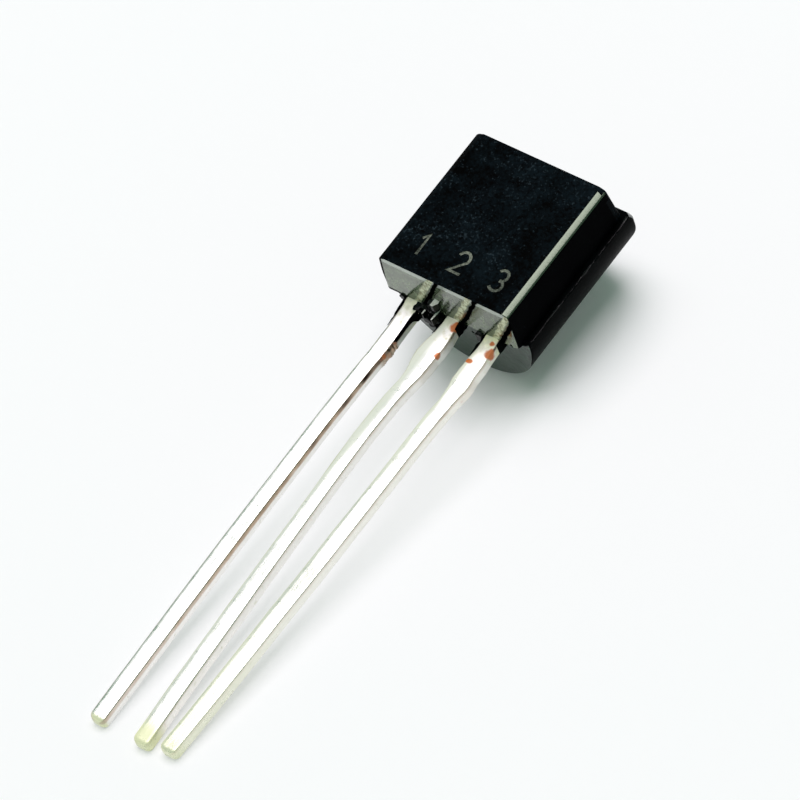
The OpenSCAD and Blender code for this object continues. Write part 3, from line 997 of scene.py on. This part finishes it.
# %% [markdown]
# ## Shading and laying down
# The cuts leave the flat faces in slivers, which are dissolved again. Smooth shading rounds off the
# facets of the arcs, edges over 30 degrees stay sharp, and weighted normals keep the big faces flat
# right up to their rounded edges.

# %% Lay the case on the table
SLIVER_DEGREES = 0.2


def finish_piece(piece, name, sharp_degrees=30):
    """Names, shades and lays down a piece that was made in the case's axes."""
    piece.name = piece.data.name = name
    piece.data.transform(lay_down)
    piece.data.shade_smooth()
    piece.data.set_sharp_from_angle(angle=math.radians(sharp_degrees))
    weighted = piece.modifiers.new("weighted", "WEIGHTED_NORMAL")
    weighted.keep_sharp = True
    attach(piece, "root")


work = bmesh.new()
work.from_mesh(case.data)
bmesh.ops.dissolve_limit(
    work, angle_limit=math.radians(SLIVER_DEGREES), verts=work.verts, edges=work.edges,
    delimit={"MATERIAL"},
)
work.to_mesh(case.data)
work.free()
finish_piece(case, "case_moulded")
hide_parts("case")
print("case box, mm:", [round(1000 * v, 3) for v in case.dimensions])

# %% [markdown]
# ## Tin-plated copper, cold-drawn strip
# The leads are stamped from copper strip and tin-plated. Tin is a soft, bright, slightly warm
# white metal: it mirrors broadly rather than sharply, with fine lines along the strip. The real
# lines are about 0.01 mm apart, so they are drawn at 0.05 mm. Five values painted on the mesh say
# where it is different: "tone" is yellow flux at the tips, "bare" is copper without tin, "sheared"
# is the brown band of a cut side, darker next to the case by painted shade, and also a painted dark
# reflection along the left edge, "blasted" is the dull, stained stretch next to the case, and
# "pale" is painted shade: a grey-green film over the left of the top face, olive at the very edge,
# where the rounded edge mirrors the dim room.

# %% Tin, worn tin and bare copper
PAINTED = ("tone", "bare", "sheared", "blasted", "pale")
LINES_MM, LINE_DEPTH_MM, LINES_ALONG_PER_MM = 0.05, 0.002, 0.7
SPOTS_PER_MM, STAINS_PER_MM = 3.0, 4.5


def tinned(name):
    """Tin over copper, with flux, oxide and bare metal where the painted values say so."""
    material, tree, shader = new_material(name)
    place = case_millimetres(tree)
    tone, bare, sheared, blasted, pale = (
        add(tree, "ShaderNodeAttribute", attribute_name=label).outputs["Fac"] for label in PAINTED
    )
    drawn = add(tree, "ShaderNodeMapping", {
        "Vector": place, "Scale": (1 / LINES_MM, LINES_ALONG_PER_MM, 1 / LINES_MM),
    }).outputs["Vector"]
    lines, spots, patches = (
        add(tree, "ShaderNodeTexNoise", {
            "Vector": at, "Scale": scale, "Detail": detail, "Roughness": roughness,
        }).outputs["Fac"]
        for at, scale, detail, roughness in (
            (drawn, 1.0, 3.0, 0.6), (place, SPOTS_PER_MM, 4.0, 0.6), (place, STAINS_PER_MM, 3.0, 0.65),
        )
    )
    # Each of these two values carries two layers, one in its lower half and one in its upper half.
    shade_film, rim, thin, oxide_and_shade = (
        add(tree, "ShaderNodeMapRange", {
            "Value": value, "From Min": low, "From Max": low + 0.5,
        }).outputs["Result"]
        for value, low in ((pale, 0.0), (pale, 0.5), (sheared, 0.0), (sheared, 0.5))
    )
    # Noise is added to the painted value before the step, so the edges of spots are uneven.
    edge = add(tree, "ShaderNodeMath", {0: spots, 1: 1.8, 2: -0.9}, operation="MULTIPLY_ADD")
    shown = add(tree, "ShaderNodeMath", {0: bare, 1: edge.outputs[0]}, operation="ADD")
    reach = add(tree, "ShaderNodeMath", {0: blasted, 1: 0.2, 2: -0.62}, operation="MULTIPLY_ADD")
    patchy = add(tree, "ShaderNodeMath", {0: patches, 1: reach.outputs[0]}, operation="ADD")
    copper, stain = (
        add(tree, "ShaderNodeMapRange", {
            "Value": value.outputs[0], "From Min": low, "From Max": high,
        }).outputs["Result"]
        for value, low, high in ((shown, 0.3, 0.85), (patchy, 0.0, 0.2))
    )
    colour = add(tree, "ShaderNodeMix", {
        0: lines, 6: linear("#E9E7E2"), 7: linear("#FBFAF8"),
    }, data_type="RGBA")
    # The grey-green film and its olive rim are painted shade, and the dark oxide next to the case is
    # partly painted shade.
    for share, tint in (
        (shade_film, "#E2E4D8"), (rim, "#B4B98E"), (tone, "#F0F0C4"), (thin, "#BDA791"),
        (oxide_and_shade, "#2A1A13"), (stain, "#DDDCC6"), (copper, "#C8713C"),
    ):
        colour = add(tree, "ShaderNodeMix", {
            0: share, 6: colour.outputs[2], 7: linear(tint),
        }, data_type="RGBA")
    # Flux, stain, worn copper and the painted shade film mirror less than clean tin.
    dull = stain
    for value in (tone, copper, shade_film):
        dull = add(tree, "ShaderNodeMath", {0: dull, 1: value}, operation="MAXIMUM").outputs[0]
    smooth = add(tree, "ShaderNodeMapRange", {
        "Value": spots, "From Min": 0.3, "From Max": 0.7, "To Min": 0.24, "To Max": 0.36,
    }).outputs["Result"]
    metallic, rough, specular = (
        add(tree, "ShaderNodeMath", {0: value, 1: by, 2: plus}, operation="MULTIPLY_ADD").outputs[0]
        for value, by, plus in ((dull, -0.9, 1.0), (blasted, 0.3, smooth), (shade_film, -0.45, 0.5))
    )
    bump = add(tree, "ShaderNodeBump", {
        "Height": lines, "Distance": LINE_DEPTH_MM * MM, "Strength": 1.0,
    })
    feed(tree, shader, {
        "Base Color": colour.outputs[2], "Metallic": metallic, "Roughness": rough,
        "Specular IOR Level": specular, "Normal": bump.outputs["Normal"],
    })
    return material


tin_plate = tinned("tin_plated_copper_strip")
print(tin_plate.name, "lines", LINES_MM, "mm")

# %% [markdown]
# ## Measuring the CAD leads
# The leads' routes come from the CAD strips. Each strip was drawn as rings across it, so its
# vertices gather at a few places along the case's Y. The middle and width of each gathering say
# where the strip runs and how wide it is there.

# %% Read one strip's stations
EXIT_Y, FEWEST = 0.06, 8  # a station has at least this many vertices


def strip_stations(node):
    """(place along, middle, width) of the strip outside the case, from the exit to the tip."""
    co = in_case_axes(node)
    co = co[co[:, 1] < EXIT_Y]
    rows = {}
    for x, y, _ in co:
        rows.setdefault(round(y, 3), []).append(x)
    return [
        (y, (min(xs) + max(xs)) / 2, max(xs) - min(xs))
        for y, xs in sorted(rows.items(), reverse=True) if len(xs) >= FEWEST
    ]


for lead in LEAD_X:
    first, *_, last = strip_stations(lead)
    print(lead, "runs from", [round(v, 3) for v in first], "to", [round(v, 3) for v in last])

# %% [markdown]
# ## The way of a lead
# A lead is its rounded section swept along the measured route. The rows stand close together near
# the case, where the tools left their marks, and wider apart down the leg. Handling leaves soft
# waves and a slight twist, and both begin where the lead leaves the case. The tip is pinched and
# rounded: its last rows shrink along a quarter circle.

# %% Rows along a lead
STUB_TOP, STUB_END, RUNOUT = -1.2, -1.85, 0.2
FINE_TO, FINE_STEP, COARSE_STEP = -2.3, 0.025, 0.08
TIP_LEN, TIP_SIZE, TIP_STEPS = 0.17, 0.5, 8
WAVE, TWIST = 0.008, 0.03


def away_from_case(y):
    """0 at the case, 1 from 2.5 mm out: how much room handling had to bend the lead."""
    return smooth_step(-0.1, -2.5, y)


def lead_rows(node, seed):
    """The tip's place, and (place, size, middle, roll) for each row from the case to the tip."""
    ys, xs, _ = np.array(strip_stations(node)).T
    leg = ys <= STUB_END - RUNOUT + 0.01
    curve = np.polyfit(ys[leg], xs[leg], 2)
    x0, tip = LEAD_X[node], ys.min()
    places = [
        *np.arange(0.05, FINE_TO, -FINE_STEP), *np.arange(FINE_TO, tip + TIP_LEN + 0.02, -COARSE_STEP),
    ]
    sizes = [(y, 1.0) for y in places]
    for i in range(TIP_STEPS + 1):
        a = math.pi / 2 * i / TIP_STEPS
        sizes.append((tip + TIP_LEN * (1 - math.sin(a)), 1 - (1 - TIP_SIZE) * (1 - math.cos(a))))
    rows = []
    for y, size in sizes:
        middle = np.polyval(curve, y) if y < STUB_END - RUNOUT else x0
        blend = smooth_step(STUB_END - RUNOUT, STUB_END + 0.1, y)
        middle = middle * (1 - blend) + x0 * blend
        middle += WAVE * away_from_case(y) * noise.noise(Vector((y * 0.45, seed, 0)))
        roll = TWIST * away_from_case(y) * noise.noise(Vector((y * 0.3, 0, seed)))
        roll *= smooth_step(tip, tip + 1.5, y)
        rows.append((y, size, middle, roll))
    return tip, rows


print("lead 2 has", len(lead_rows("base_lead", 23.0)[1]), "rows")

# %% [markdown]
# ## The section of a lead
# The strip's section is a rectangle with small rounded corners. Where the bar between the leads was
# cut, the metal tore, so noise pushes the cut side in and out there. Everywhere else a much
# weaker noise keeps the faces from being perfectly flat.

# %% Points round a lead
EDGE_R, TORN_MM, UNEVEN_MM = 0.05, 0.045, 0.0035
ARC_STEPS, FACE_STEPS, SIDE_STEPS = 4, 5, 3


def strip_template():
    """Points round a rounded rectangle as (corner sign x, corner sign z, arc direction)."""
    corners = [(1, 1, 0), (-1, 1, 90), (-1, -1, 180), (1, -1, 270)]
    found = []
    for k, (sx, sz, start) in enumerate(corners):
        for i in range(ARC_STEPS + 1):
            a = math.radians(start + 90 * i / ARC_STEPS)
            found.append((sx, sz, math.cos(a), math.sin(a)))
        nx, nz, _ = corners[(k + 1) % 4]
        n = FACE_STEPS if nx != sx else SIDE_STEPS
        for i in range(1, n + 1):
            t = i / (n + 1)
            found.append((sx + (nx - sx) * t, sz + (nz - sz) * t, math.cos(a), math.sin(a)))
    return found


TEMPLATE = strip_template()


def section_point(look, y, size, half, corner):
    """x and z of one point of the section, before it is bent, and how torn the strip is there."""
    sx, sz, ax, az = corner
    r = min(EDGE_R + 0.1 * (1 - size), half * size * 0.9, LEAD_T / 2 * size * 0.9)
    x = sx * (half * size - r) + r * ax
    z = sz * (LEAD_T / 2 * size - r) + r * az
    stub = smooth_step(STUB_TOP + 0.03, STUB_TOP - 0.05, y)
    stub *= smooth_step(STUB_END - RUNOUT, STUB_END + 0.1, y)
    torn = (look["torn_right"] if ax > 0 else 0.25) * stub * smooth_step(0.55, 0.95, abs(ax))
    q = Vector((y * 14, z * 11, look["seed"] + 3 * (1 if ax > 0 else -1)))
    push = TORN_MM * torn * (noise.noise(q) + 0.6 * noise.noise(q * 2.3))
    push += UNEVEN_MM * away_from_case(y) * noise.noise(Vector((x * 3, y * 1.6, look["seed"] + z)))
    return x + ax * push, z + az * push, torn


print("a section has", len(TEMPLATE), "points")

# %% [markdown]
# ## What the tools and the flux left on a lead, and its painted shade
# A grey film of painted shade covers the left of the top face, which leans down a little there, and
# its olive edge is a painted reflection of the rounded edge. The cut right side is brown, darker next
# to the case, where the darkening is painted shade, and a painted dark reflection follows the left
# edge. Copper shows through the tin in a few round spots. Each function gives one of these at a point.

# %% Painted values
def shade_film_at(look, y, across):
    """How far a point of the top face lies inside the painted shade film, and how strong its olive
    edge, a painted reflection, is.
    """
    reach = look["shade_film_from"] - 0.6 * smooth_step(-2.8, -6.5, y)
    reach += 0.12 * noise.noise(Vector((y * 1.3, look["seed"], 4.0)))
    olive = look["olive_edge_reflection"] * smooth_step(-0.72, -0.92, across)
    olive *= 0.75 + 0.5 * noise.noise(Vector((y * 1.1, look["seed"], 7.0)))
    return max(0.0, reach - across), min(1.0, olive)


def brown_at(look, y, z, sx, ax, torn):
    """The brown of the cut right side, darker next to the case by painted shade, of torn metal, and of
    the painted dark reflection along the left edge.
    """
    level = look["cut_from"] + 0.04 * noise.noise(Vector((y * 3.1, look["seed"], 2.0)))
    cut_side = smooth_step(0.3, 0.8, ax) * smooth_step(level - 0.03, level + 0.03, z)
    # Darker towards the case: partly painted shade.
    darker_to_case = 0.38 + 0.37 * smooth_step(-13.0, -4.0, y) + 0.25 * smooth_step(-4.5, -2.2, y)
    breaks = 0.85 + 0.5 * noise.noise(Vector((y * 2.2, look["seed"], sx * 3.0)))
    brown_and_near_case_shade = max(look["brown"], 0.9 * smooth_step(-0.75, -0.45, y))
    # The dark line along the left edge is a painted reflection of the rounded edge.
    left_side = smooth_step(-0.05, -0.4, ax) * smooth_step(0.0, 0.06, z)
    line = left_side * look["left_edge_reflection"] * (0.35 + 0.65 * smooth_step(-2.1, -1.0, y)) * breaks
    return min(1.0, max(cut_side * darker_to_case * breaks * brown_and_near_case_shade, 0.55 * torn * breaks, line))


def copper_at(spots, p, x0):
    """How bare the copper is at a point; a spot is its centre from the strip's middle, and radii."""
    found = 0.0
    for cx, cy, cz, rx, ry, rz in spots:
        d = ((p.x - x0 - cx) / rx) ** 2 + ((p.y - cy) / ry) ** 2 + ((p.z - cz) / rz) ** 2
        found = max(found, 1.2 * (1 - smooth_step(0.2, 2.4, d)))
    return found


def make_lead(node, look):
    """One lead outside the case, with the five painted values on its points."""
    x0 = LEAD_X[node]
    tip, rows = lead_rows(node, look["seed"])
    rings, painted = [], []
    for y, size, middle, roll in rows:
        ring = []
        for sx, sz, ax, az in TEMPLATE:
            half = width_at(node, y, sx)
            x, z, torn = section_point(look, y, size, half, (sx, sz, ax, az))
            # Painted shade film over the left of the top face, and its olive edge.
            over, olive = shade_film_at(look, y, x / half)
            z -= 0.05 * half * over * smooth_step(-0.1, 0.1, z)
            pale = max(0.5 * smooth_step(0.0, 0.35, over), olive) * smooth_step(-0.1, 0.1, z)
            x, z = x * math.cos(roll) - z * math.sin(roll), x * math.sin(roll) + z * math.cos(roll)
            rise = 0.04 * smooth_step(-0.4, 0.05, y) * smooth_step(-0.1, 0.15, z)
            p = Vector((middle + x, y, z + rise - LEAD_T / 2))
            ring.append(p)
            painted.append((
                max(look["tip_tone"](y - tip), look["exit_tone"] * smooth_step(-0.5, -0.1, y)),
                max(0.3 * torn, copper_at(look["spots"], p, x0)),
                brown_at(look, y, z, sx, ax, torn),
                smooth_step(-1.3, -0.1, y),
                pale,
            ))
        rings.append(ring)
    piece = ring_solid(node + "_outer", rings, [tin_plate])
    for label, values in zip(PAINTED, zip(*painted)):
        layer = piece.data.attributes.new(label, "FLOAT", "POINT")
        layer.data.foreach_set("value", values)
    return piece


print("values painted on each lead:", PAINTED)

# %% [markdown]
# ## The three leads
# No two leads look alike, so a table says what is on each. The seed starts its noise. Yellow flux
# depends on the distance to the tip, and has its own strength at the exit. Then come the spots of
# bare copper, how brown and how torn the cut right side is, where that side begins, the painted dark
# reflection on the left, and the film of painted shade with its olive edge.

# %% Make the leads
LOOKS = {
    "emitter_lead": dict(
        seed=11.0, tip_tone=lambda d: 0.9 * (1 - smooth_step(0.05, 0.2, d)), exit_tone=0.55,
        spots=[(0.3, -1.75, -0.1, 0.05, 0.06, 0.08)],
        brown=1.0, torn_right=1.0, cut_from=0.04, left_edge_reflection=0.9, shade_film_from=-0.75, olive_edge_reflection=0.0,
    ),
    "base_lead": dict(
        seed=23.0, tip_tone=lambda d: 0.03 + 0.9 * (1 - smooth_step(0.35, 0.9, d)), exit_tone=0.3,
        spots=[(0.23, -0.2, 0.0, 0.075, 0.14, 0.2), (0.33, -1.1, -0.02, 0.05, 0.09, 0.12)],
        brown=0.34, torn_right=0.15, cut_from=0.1, left_edge_reflection=0.2, shade_film_from=0.15, olive_edge_reflection=0.95,
    ),
    "collector_lead": dict(
        seed=37.0, exit_tone=0.85,
        tip_tone=lambda d: (
            0.12 + 0.3 * (1 - smooth_step(0.5, 6.0, d)) + 0.3 * (1 - smooth_step(0.1, 0.6, d))
        ),
        spots=[
            (0.27, -0.44, 0.0, 0.085, 0.14, 0.2), (-0.07, -0.86, 0.0, 0.11, 0.06, 0.08),
            (0.2, -0.16, 0.0, 0.06, 0.06, 0.1),
        ],
        brown=0.34, torn_right=0.2, cut_from=0.1, left_edge_reflection=0.2, shade_film_from=-0.1, olive_edge_reflection=0.85,
    ),
}
outer = {node: make_lead(node, look) for node, look in LOOKS.items()}
print({name: len(piece.data.polygons) for name, piece in outer.items()})

# %% [markdown]
# ## Joining each lead to its part inside the case
# The stem, pads and paddle inside the resin keep the CAD strip's own faces. The outer part of the
# copy is cut away at the exit, and the new outer part is joined on. Edges under 40 degrees are
# shaded smooth, so that the torn sides look torn and not faceted.

# %% Finish the three leads
CUT_Y, LEAD_SHARP_DEGREES = 0.02, 40

for node, piece in outer.items():
    cut_or_join(piece, [cad_copy(node, [tin_plate], 0, CUT_Y)], "UNION")
    finish_piece(piece, node + "_strip", LEAD_SHARP_DEGREES)
    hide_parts(node)
    print(piece.name, len(piece.data.polygons), "faces,", len(piece.data.attributes), "values")

# %% [markdown]
# ## Chip, its fixing and the bond wires
# These are sealed in the case and keep their CAD meshes. They still get their real finishes, so the
# part is right when the case is hidden: etched silicon with a faint grid of circuits, silver-filled
# epoxy under it, and drawn gold wire.

# %% Finishes of what is sealed inside
CIRCUIT_MM, TRACK_MM = 0.05, 0.006
GRAINS_PER_MM, WIRE_LINES_PER_MM = 60.0, 80.0

silicon, tree, shader = new_material("silicon_etched")
circuits = add(tree, "ShaderNodeTexBrick", {
    "Vector": case_millimetres(tree), "Scale": 1.0,
    "Brick Width": CIRCUIT_MM, "Row Height": CIRCUIT_MM, "Mortar Size": TRACK_MM,
    "Color1": linear("#4C5468"), "Color2": linear("#5D6479"), "Mortar": linear("#2F3440"),
})
feed(tree, shader, {"Base Color": circuits.outputs["Color"], "Metallic": 0.6, "Roughness": 0.18})

silver_epoxy, tree, shader = new_material("silver_filled_epoxy")
grains = add(tree, "ShaderNodeTexNoise", {
    "Vector": case_millimetres(tree), "Scale": GRAINS_PER_MM, "Detail": 2.0,
})
colour = add(tree, "ShaderNodeMix", {
    0: grains.outputs["Fac"], 6: linear("#8F8F8B"), 7: linear("#D2D2CE"),
}, data_type="RGBA")
feed(tree, shader, {"Base Color": colour.outputs[2], "Metallic": 0.7, "Roughness": 0.4})

gold, tree, shader = new_material("gold_drawn_wire")
lines = add(tree, "ShaderNodeTexNoise", {
    "Vector": case_millimetres(tree), "Scale": WIRE_LINES_PER_MM, "Detail": 2.0,
})
rough = add(tree, "ShaderNodeMapRange", {"Value": lines.outputs["Fac"], "To Min": 0.15, "To Max": 0.3})
colour = add(tree, "ShaderNodeMix", {
    0: lines.outputs["Fac"], 6: linear("#E0A63C"), 7: linear("#F5C768"),
}, data_type="RGBA")
feed(tree, shader, {
    "Base Color": colour.outputs[2], "Roughness": rough.outputs["Result"], "Metallic": 1.0,
})

for node, material, slot in (
    ("die", silicon, "silicon"), ("die_attach", silver_epoxy, "attach"),
    ("emitter_bond_wire", gold, "gold"), ("base_bond_wire", gold, "gold"),
):
    frame["nodes"][node].material_slots[0].material = material
print("inside finishes:", silicon.name, silver_epoxy.name, gold.name)

# %% [markdown]
# ## Floor
# A plain white sweep: a flat disc that turns up at its rim, so that a low camera still sees white
# behind the part. Under the case the floor is plain white paint and takes the full shadow. Further
# out part of its white is painted light, which lifts the shadows, so the leads' shadows stay faint.
# At the rim it is all its own white, as one lamp can't light it evenly.

# %% White sweep
FLOOR_R, SWEEP_R, SWEEP_H = 0.36, 0.48, 0.11
SWEEP_SIDES, BEND_STEPS = 96, 12


def sweep():
    """A disc with a rim that turns up in a quarter circle, in metres."""
    profile = [(r, 0.0) for r in (0.004, 0.02, 0.1, 0.25, FLOOR_R)]
    for i in range(1, BEND_STEPS + 1):
        a = math.pi / 2 * i / BEND_STEPS
        profile.append((FLOOR_R + (SWEEP_R - FLOOR_R) * math.sin(a), SWEEP_H * (1 - math.cos(a))))
    turns = [2 * math.pi * i / SWEEP_SIDES for i in range(SWEEP_SIDES)]
    points = [(r * math.cos(a), r * math.sin(a), z) for r, z in profile for a in turns]
    faces = []
    for low in range(0, len(points) - SWEEP_SIDES, SWEEP_SIDES):
        high = low + SWEEP_SIDES
        for i in range(SWEEP_SIDES):
            j = (i + 1) % SWEEP_SIDES
            faces.append((high + i, high + j, low + j, low + i))
    faces.append(tuple(range(SWEEP_SIDES)))
    mesh = bpy.data.meshes.new("studio_sweep")
    mesh.from_pydata(points, [], faces)
    mesh.shade_smooth()
    return put("studio_sweep", mesh)


floor = sweep()
print("floor radius, m:", SWEEP_R)

# %% [markdown]
# ## White paint with painted light
# The floor's own white is a second, glowing shader, mixed in by the distance from the middle of the
# case: painted light that lifts the shadows. The first ramp is the case's shadow, the second keeps a
# little more shadow beyond the tips, and the third is the rim. Only the camera and mirrored rays see
# it, so it puts no light on the part.

# %% Finish of the floor
WHITE = linear("#FBFBFC")
# (from, to, painted light there, painted light from there on, kind), distances in metres.
PAINTED_LIGHT_RAMPS = (
    (0.0026, 0.0042, 0.06, 0.6, "LINEAR"),
    (0.009, 0.014, 0.0, -0.15, "SMOOTHSTEP"),
    (0.05, 0.25, 0.0, 0.55, "SMOOTHSTEP"),
)

white_paint, tree, shader = new_material("white_matt_paint_and_painted_light")
feed(tree, shader, {"Base Color": WHITE, "Roughness": 0.9, "Specular IOR Level": 0.0})
place = add(tree, "ShaderNodeTexCoord").outputs["Object"]
under_case = lay_down @ Vector((0, CASE_LEN / 2, 0))
distance = add(tree, "ShaderNodeVectorMath", {
    0: place, 1: (under_case.x, under_case.y, 0),
}, operation="DISTANCE").outputs["Value"]
near, tips, far = (
    add(tree, "ShaderNodeMapRange", {
        "Value": distance, "From Min": start, "From Max": stop, "To Min": low, "To Max": high,
    }, interpolation_type=kind).outputs["Result"]
    for start, stop, low, high, kind in PAINTED_LIGHT_RAMPS
)
# The share of painted light that lifts the floor's shadows.
own = near
for ramp in (tips, far):
    own = add(tree, "ShaderNodeMath", {0: own, 1: ramp}, operation="ADD").outputs[0]
path = add(tree, "ShaderNodeLightPath")
seen = add(tree, "ShaderNodeMath", {
    0: path.outputs["Is Camera Ray"], 1: path.outputs["Is Glossy Ray"],
}, operation="ADD", use_clamp=True)
share = add(tree, "ShaderNodeMath", {0: seen.outputs[0], 1: own}, operation="MULTIPLY")
glow = add(tree, "ShaderNodeEmission", {"Color": WHITE, "Strength": 1.0})
mixed = add(tree, "ShaderNodeMixShader", {
    0: share.outputs[0], 1: shader.outputs["BSDF"], 2: glow.outputs["Emission"],
})
feed(tree, tree.nodes["Material Output"], {"Surface": mixed.outputs[0]})
floor.data.materials.append(white_paint)
print("own white begins, mm:", [1000 * row[0] for row in PAINTED_LIGHT_RAMPS])

# %% [markdown]
# ## Light
# One large softbox hangs above and a little behind the part, to the left. It is big enough to soften
# the shadows, its edge is mirrored by the tin-plated leads, and the right bevel mirrors its middle.
# A dim green-grey room fills the shadows and gives the rounded edges of the metal their dark lines.

# %% Softbox and room
BOX_SIZE, BOX_AT, BOX_POWER, BOX_TINT = 0.42, (-0.06, 0.08, 0.49), 2.45, (1.0, 0.9, 0.97)
ROOM_LIGHT = (0.165, 0.29, 0.215, 1.0)

softbox = bpy.data.lights.new("softbox", "AREA")
softbox.shape, softbox.size, softbox.energy, softbox.color = "SQUARE", BOX_SIZE, BOX_POWER, BOX_TINT
put("softbox", softbox).location = BOX_AT

world = bpy.data.worlds.new("dim_room")
bpy.context.scene.world = world
world.use_nodes = True
world.node_tree.nodes.clear()
room = add(world.node_tree, "ShaderNodeBackground", {"Color": ROOM_LIGHT, "Strength": 1.0})
add(world.node_tree, "ShaderNodeOutputWorld", {"Surface": room.outputs["Background"]})
print("softbox, m:", BOX_SIZE, "at", BOX_AT)

# %% [markdown]
# ## Camera
# A long lens from above and to the right of the leads, turned a little on its own axis. The camera
# is placed from a point on the table, two angles, a distance and that turn.

# %% Camera
AIM = Vector((-1.0954, 2.8932, 0.0)) * MM
AZIMUTH, ELEVATION, ROLL = (math.radians(a) for a in (49.666, 47.923, -15.086))
DISTANCE, FOCAL_MM, SENSOR_MM = 155.50 * MM, 270, 36

ahead = Vector((
    -math.sin(AZIMUTH) * math.cos(ELEVATION),
    math.cos(AZIMUTH) * math.cos(ELEVATION),
    -math.sin(ELEVATION),
))
level = Vector((math.cos(AZIMUTH), math.sin(AZIMUTH), 0))
right = level * math.cos(ROLL) + level.cross(ahead) * math.sin(ROLL)
up = right.cross(ahead)
lens = bpy.data.cameras.new("camera")
lens.lens, lens.sensor_width = FOCAL_MM, SENSOR_MM
lens.clip_start, lens.clip_end = 0.01, 5
camera = put("camera", lens)
turned = Matrix((right, up, -ahead)).transposed().to_4x4()
camera.matrix_world = Matrix.Translation(AIM - ahead * DISTANCE) @ turned
bpy.context.scene.camera = camera
bpy.context.scene.view_settings.view_transform = "Standard"
print("camera at, mm:", [round(v / MM, 2) for v in camera.location])

# %% [markdown]
# ## Last update
# The scene is brought up to date.

# %% Finish
bpy.context.view_layer.update()
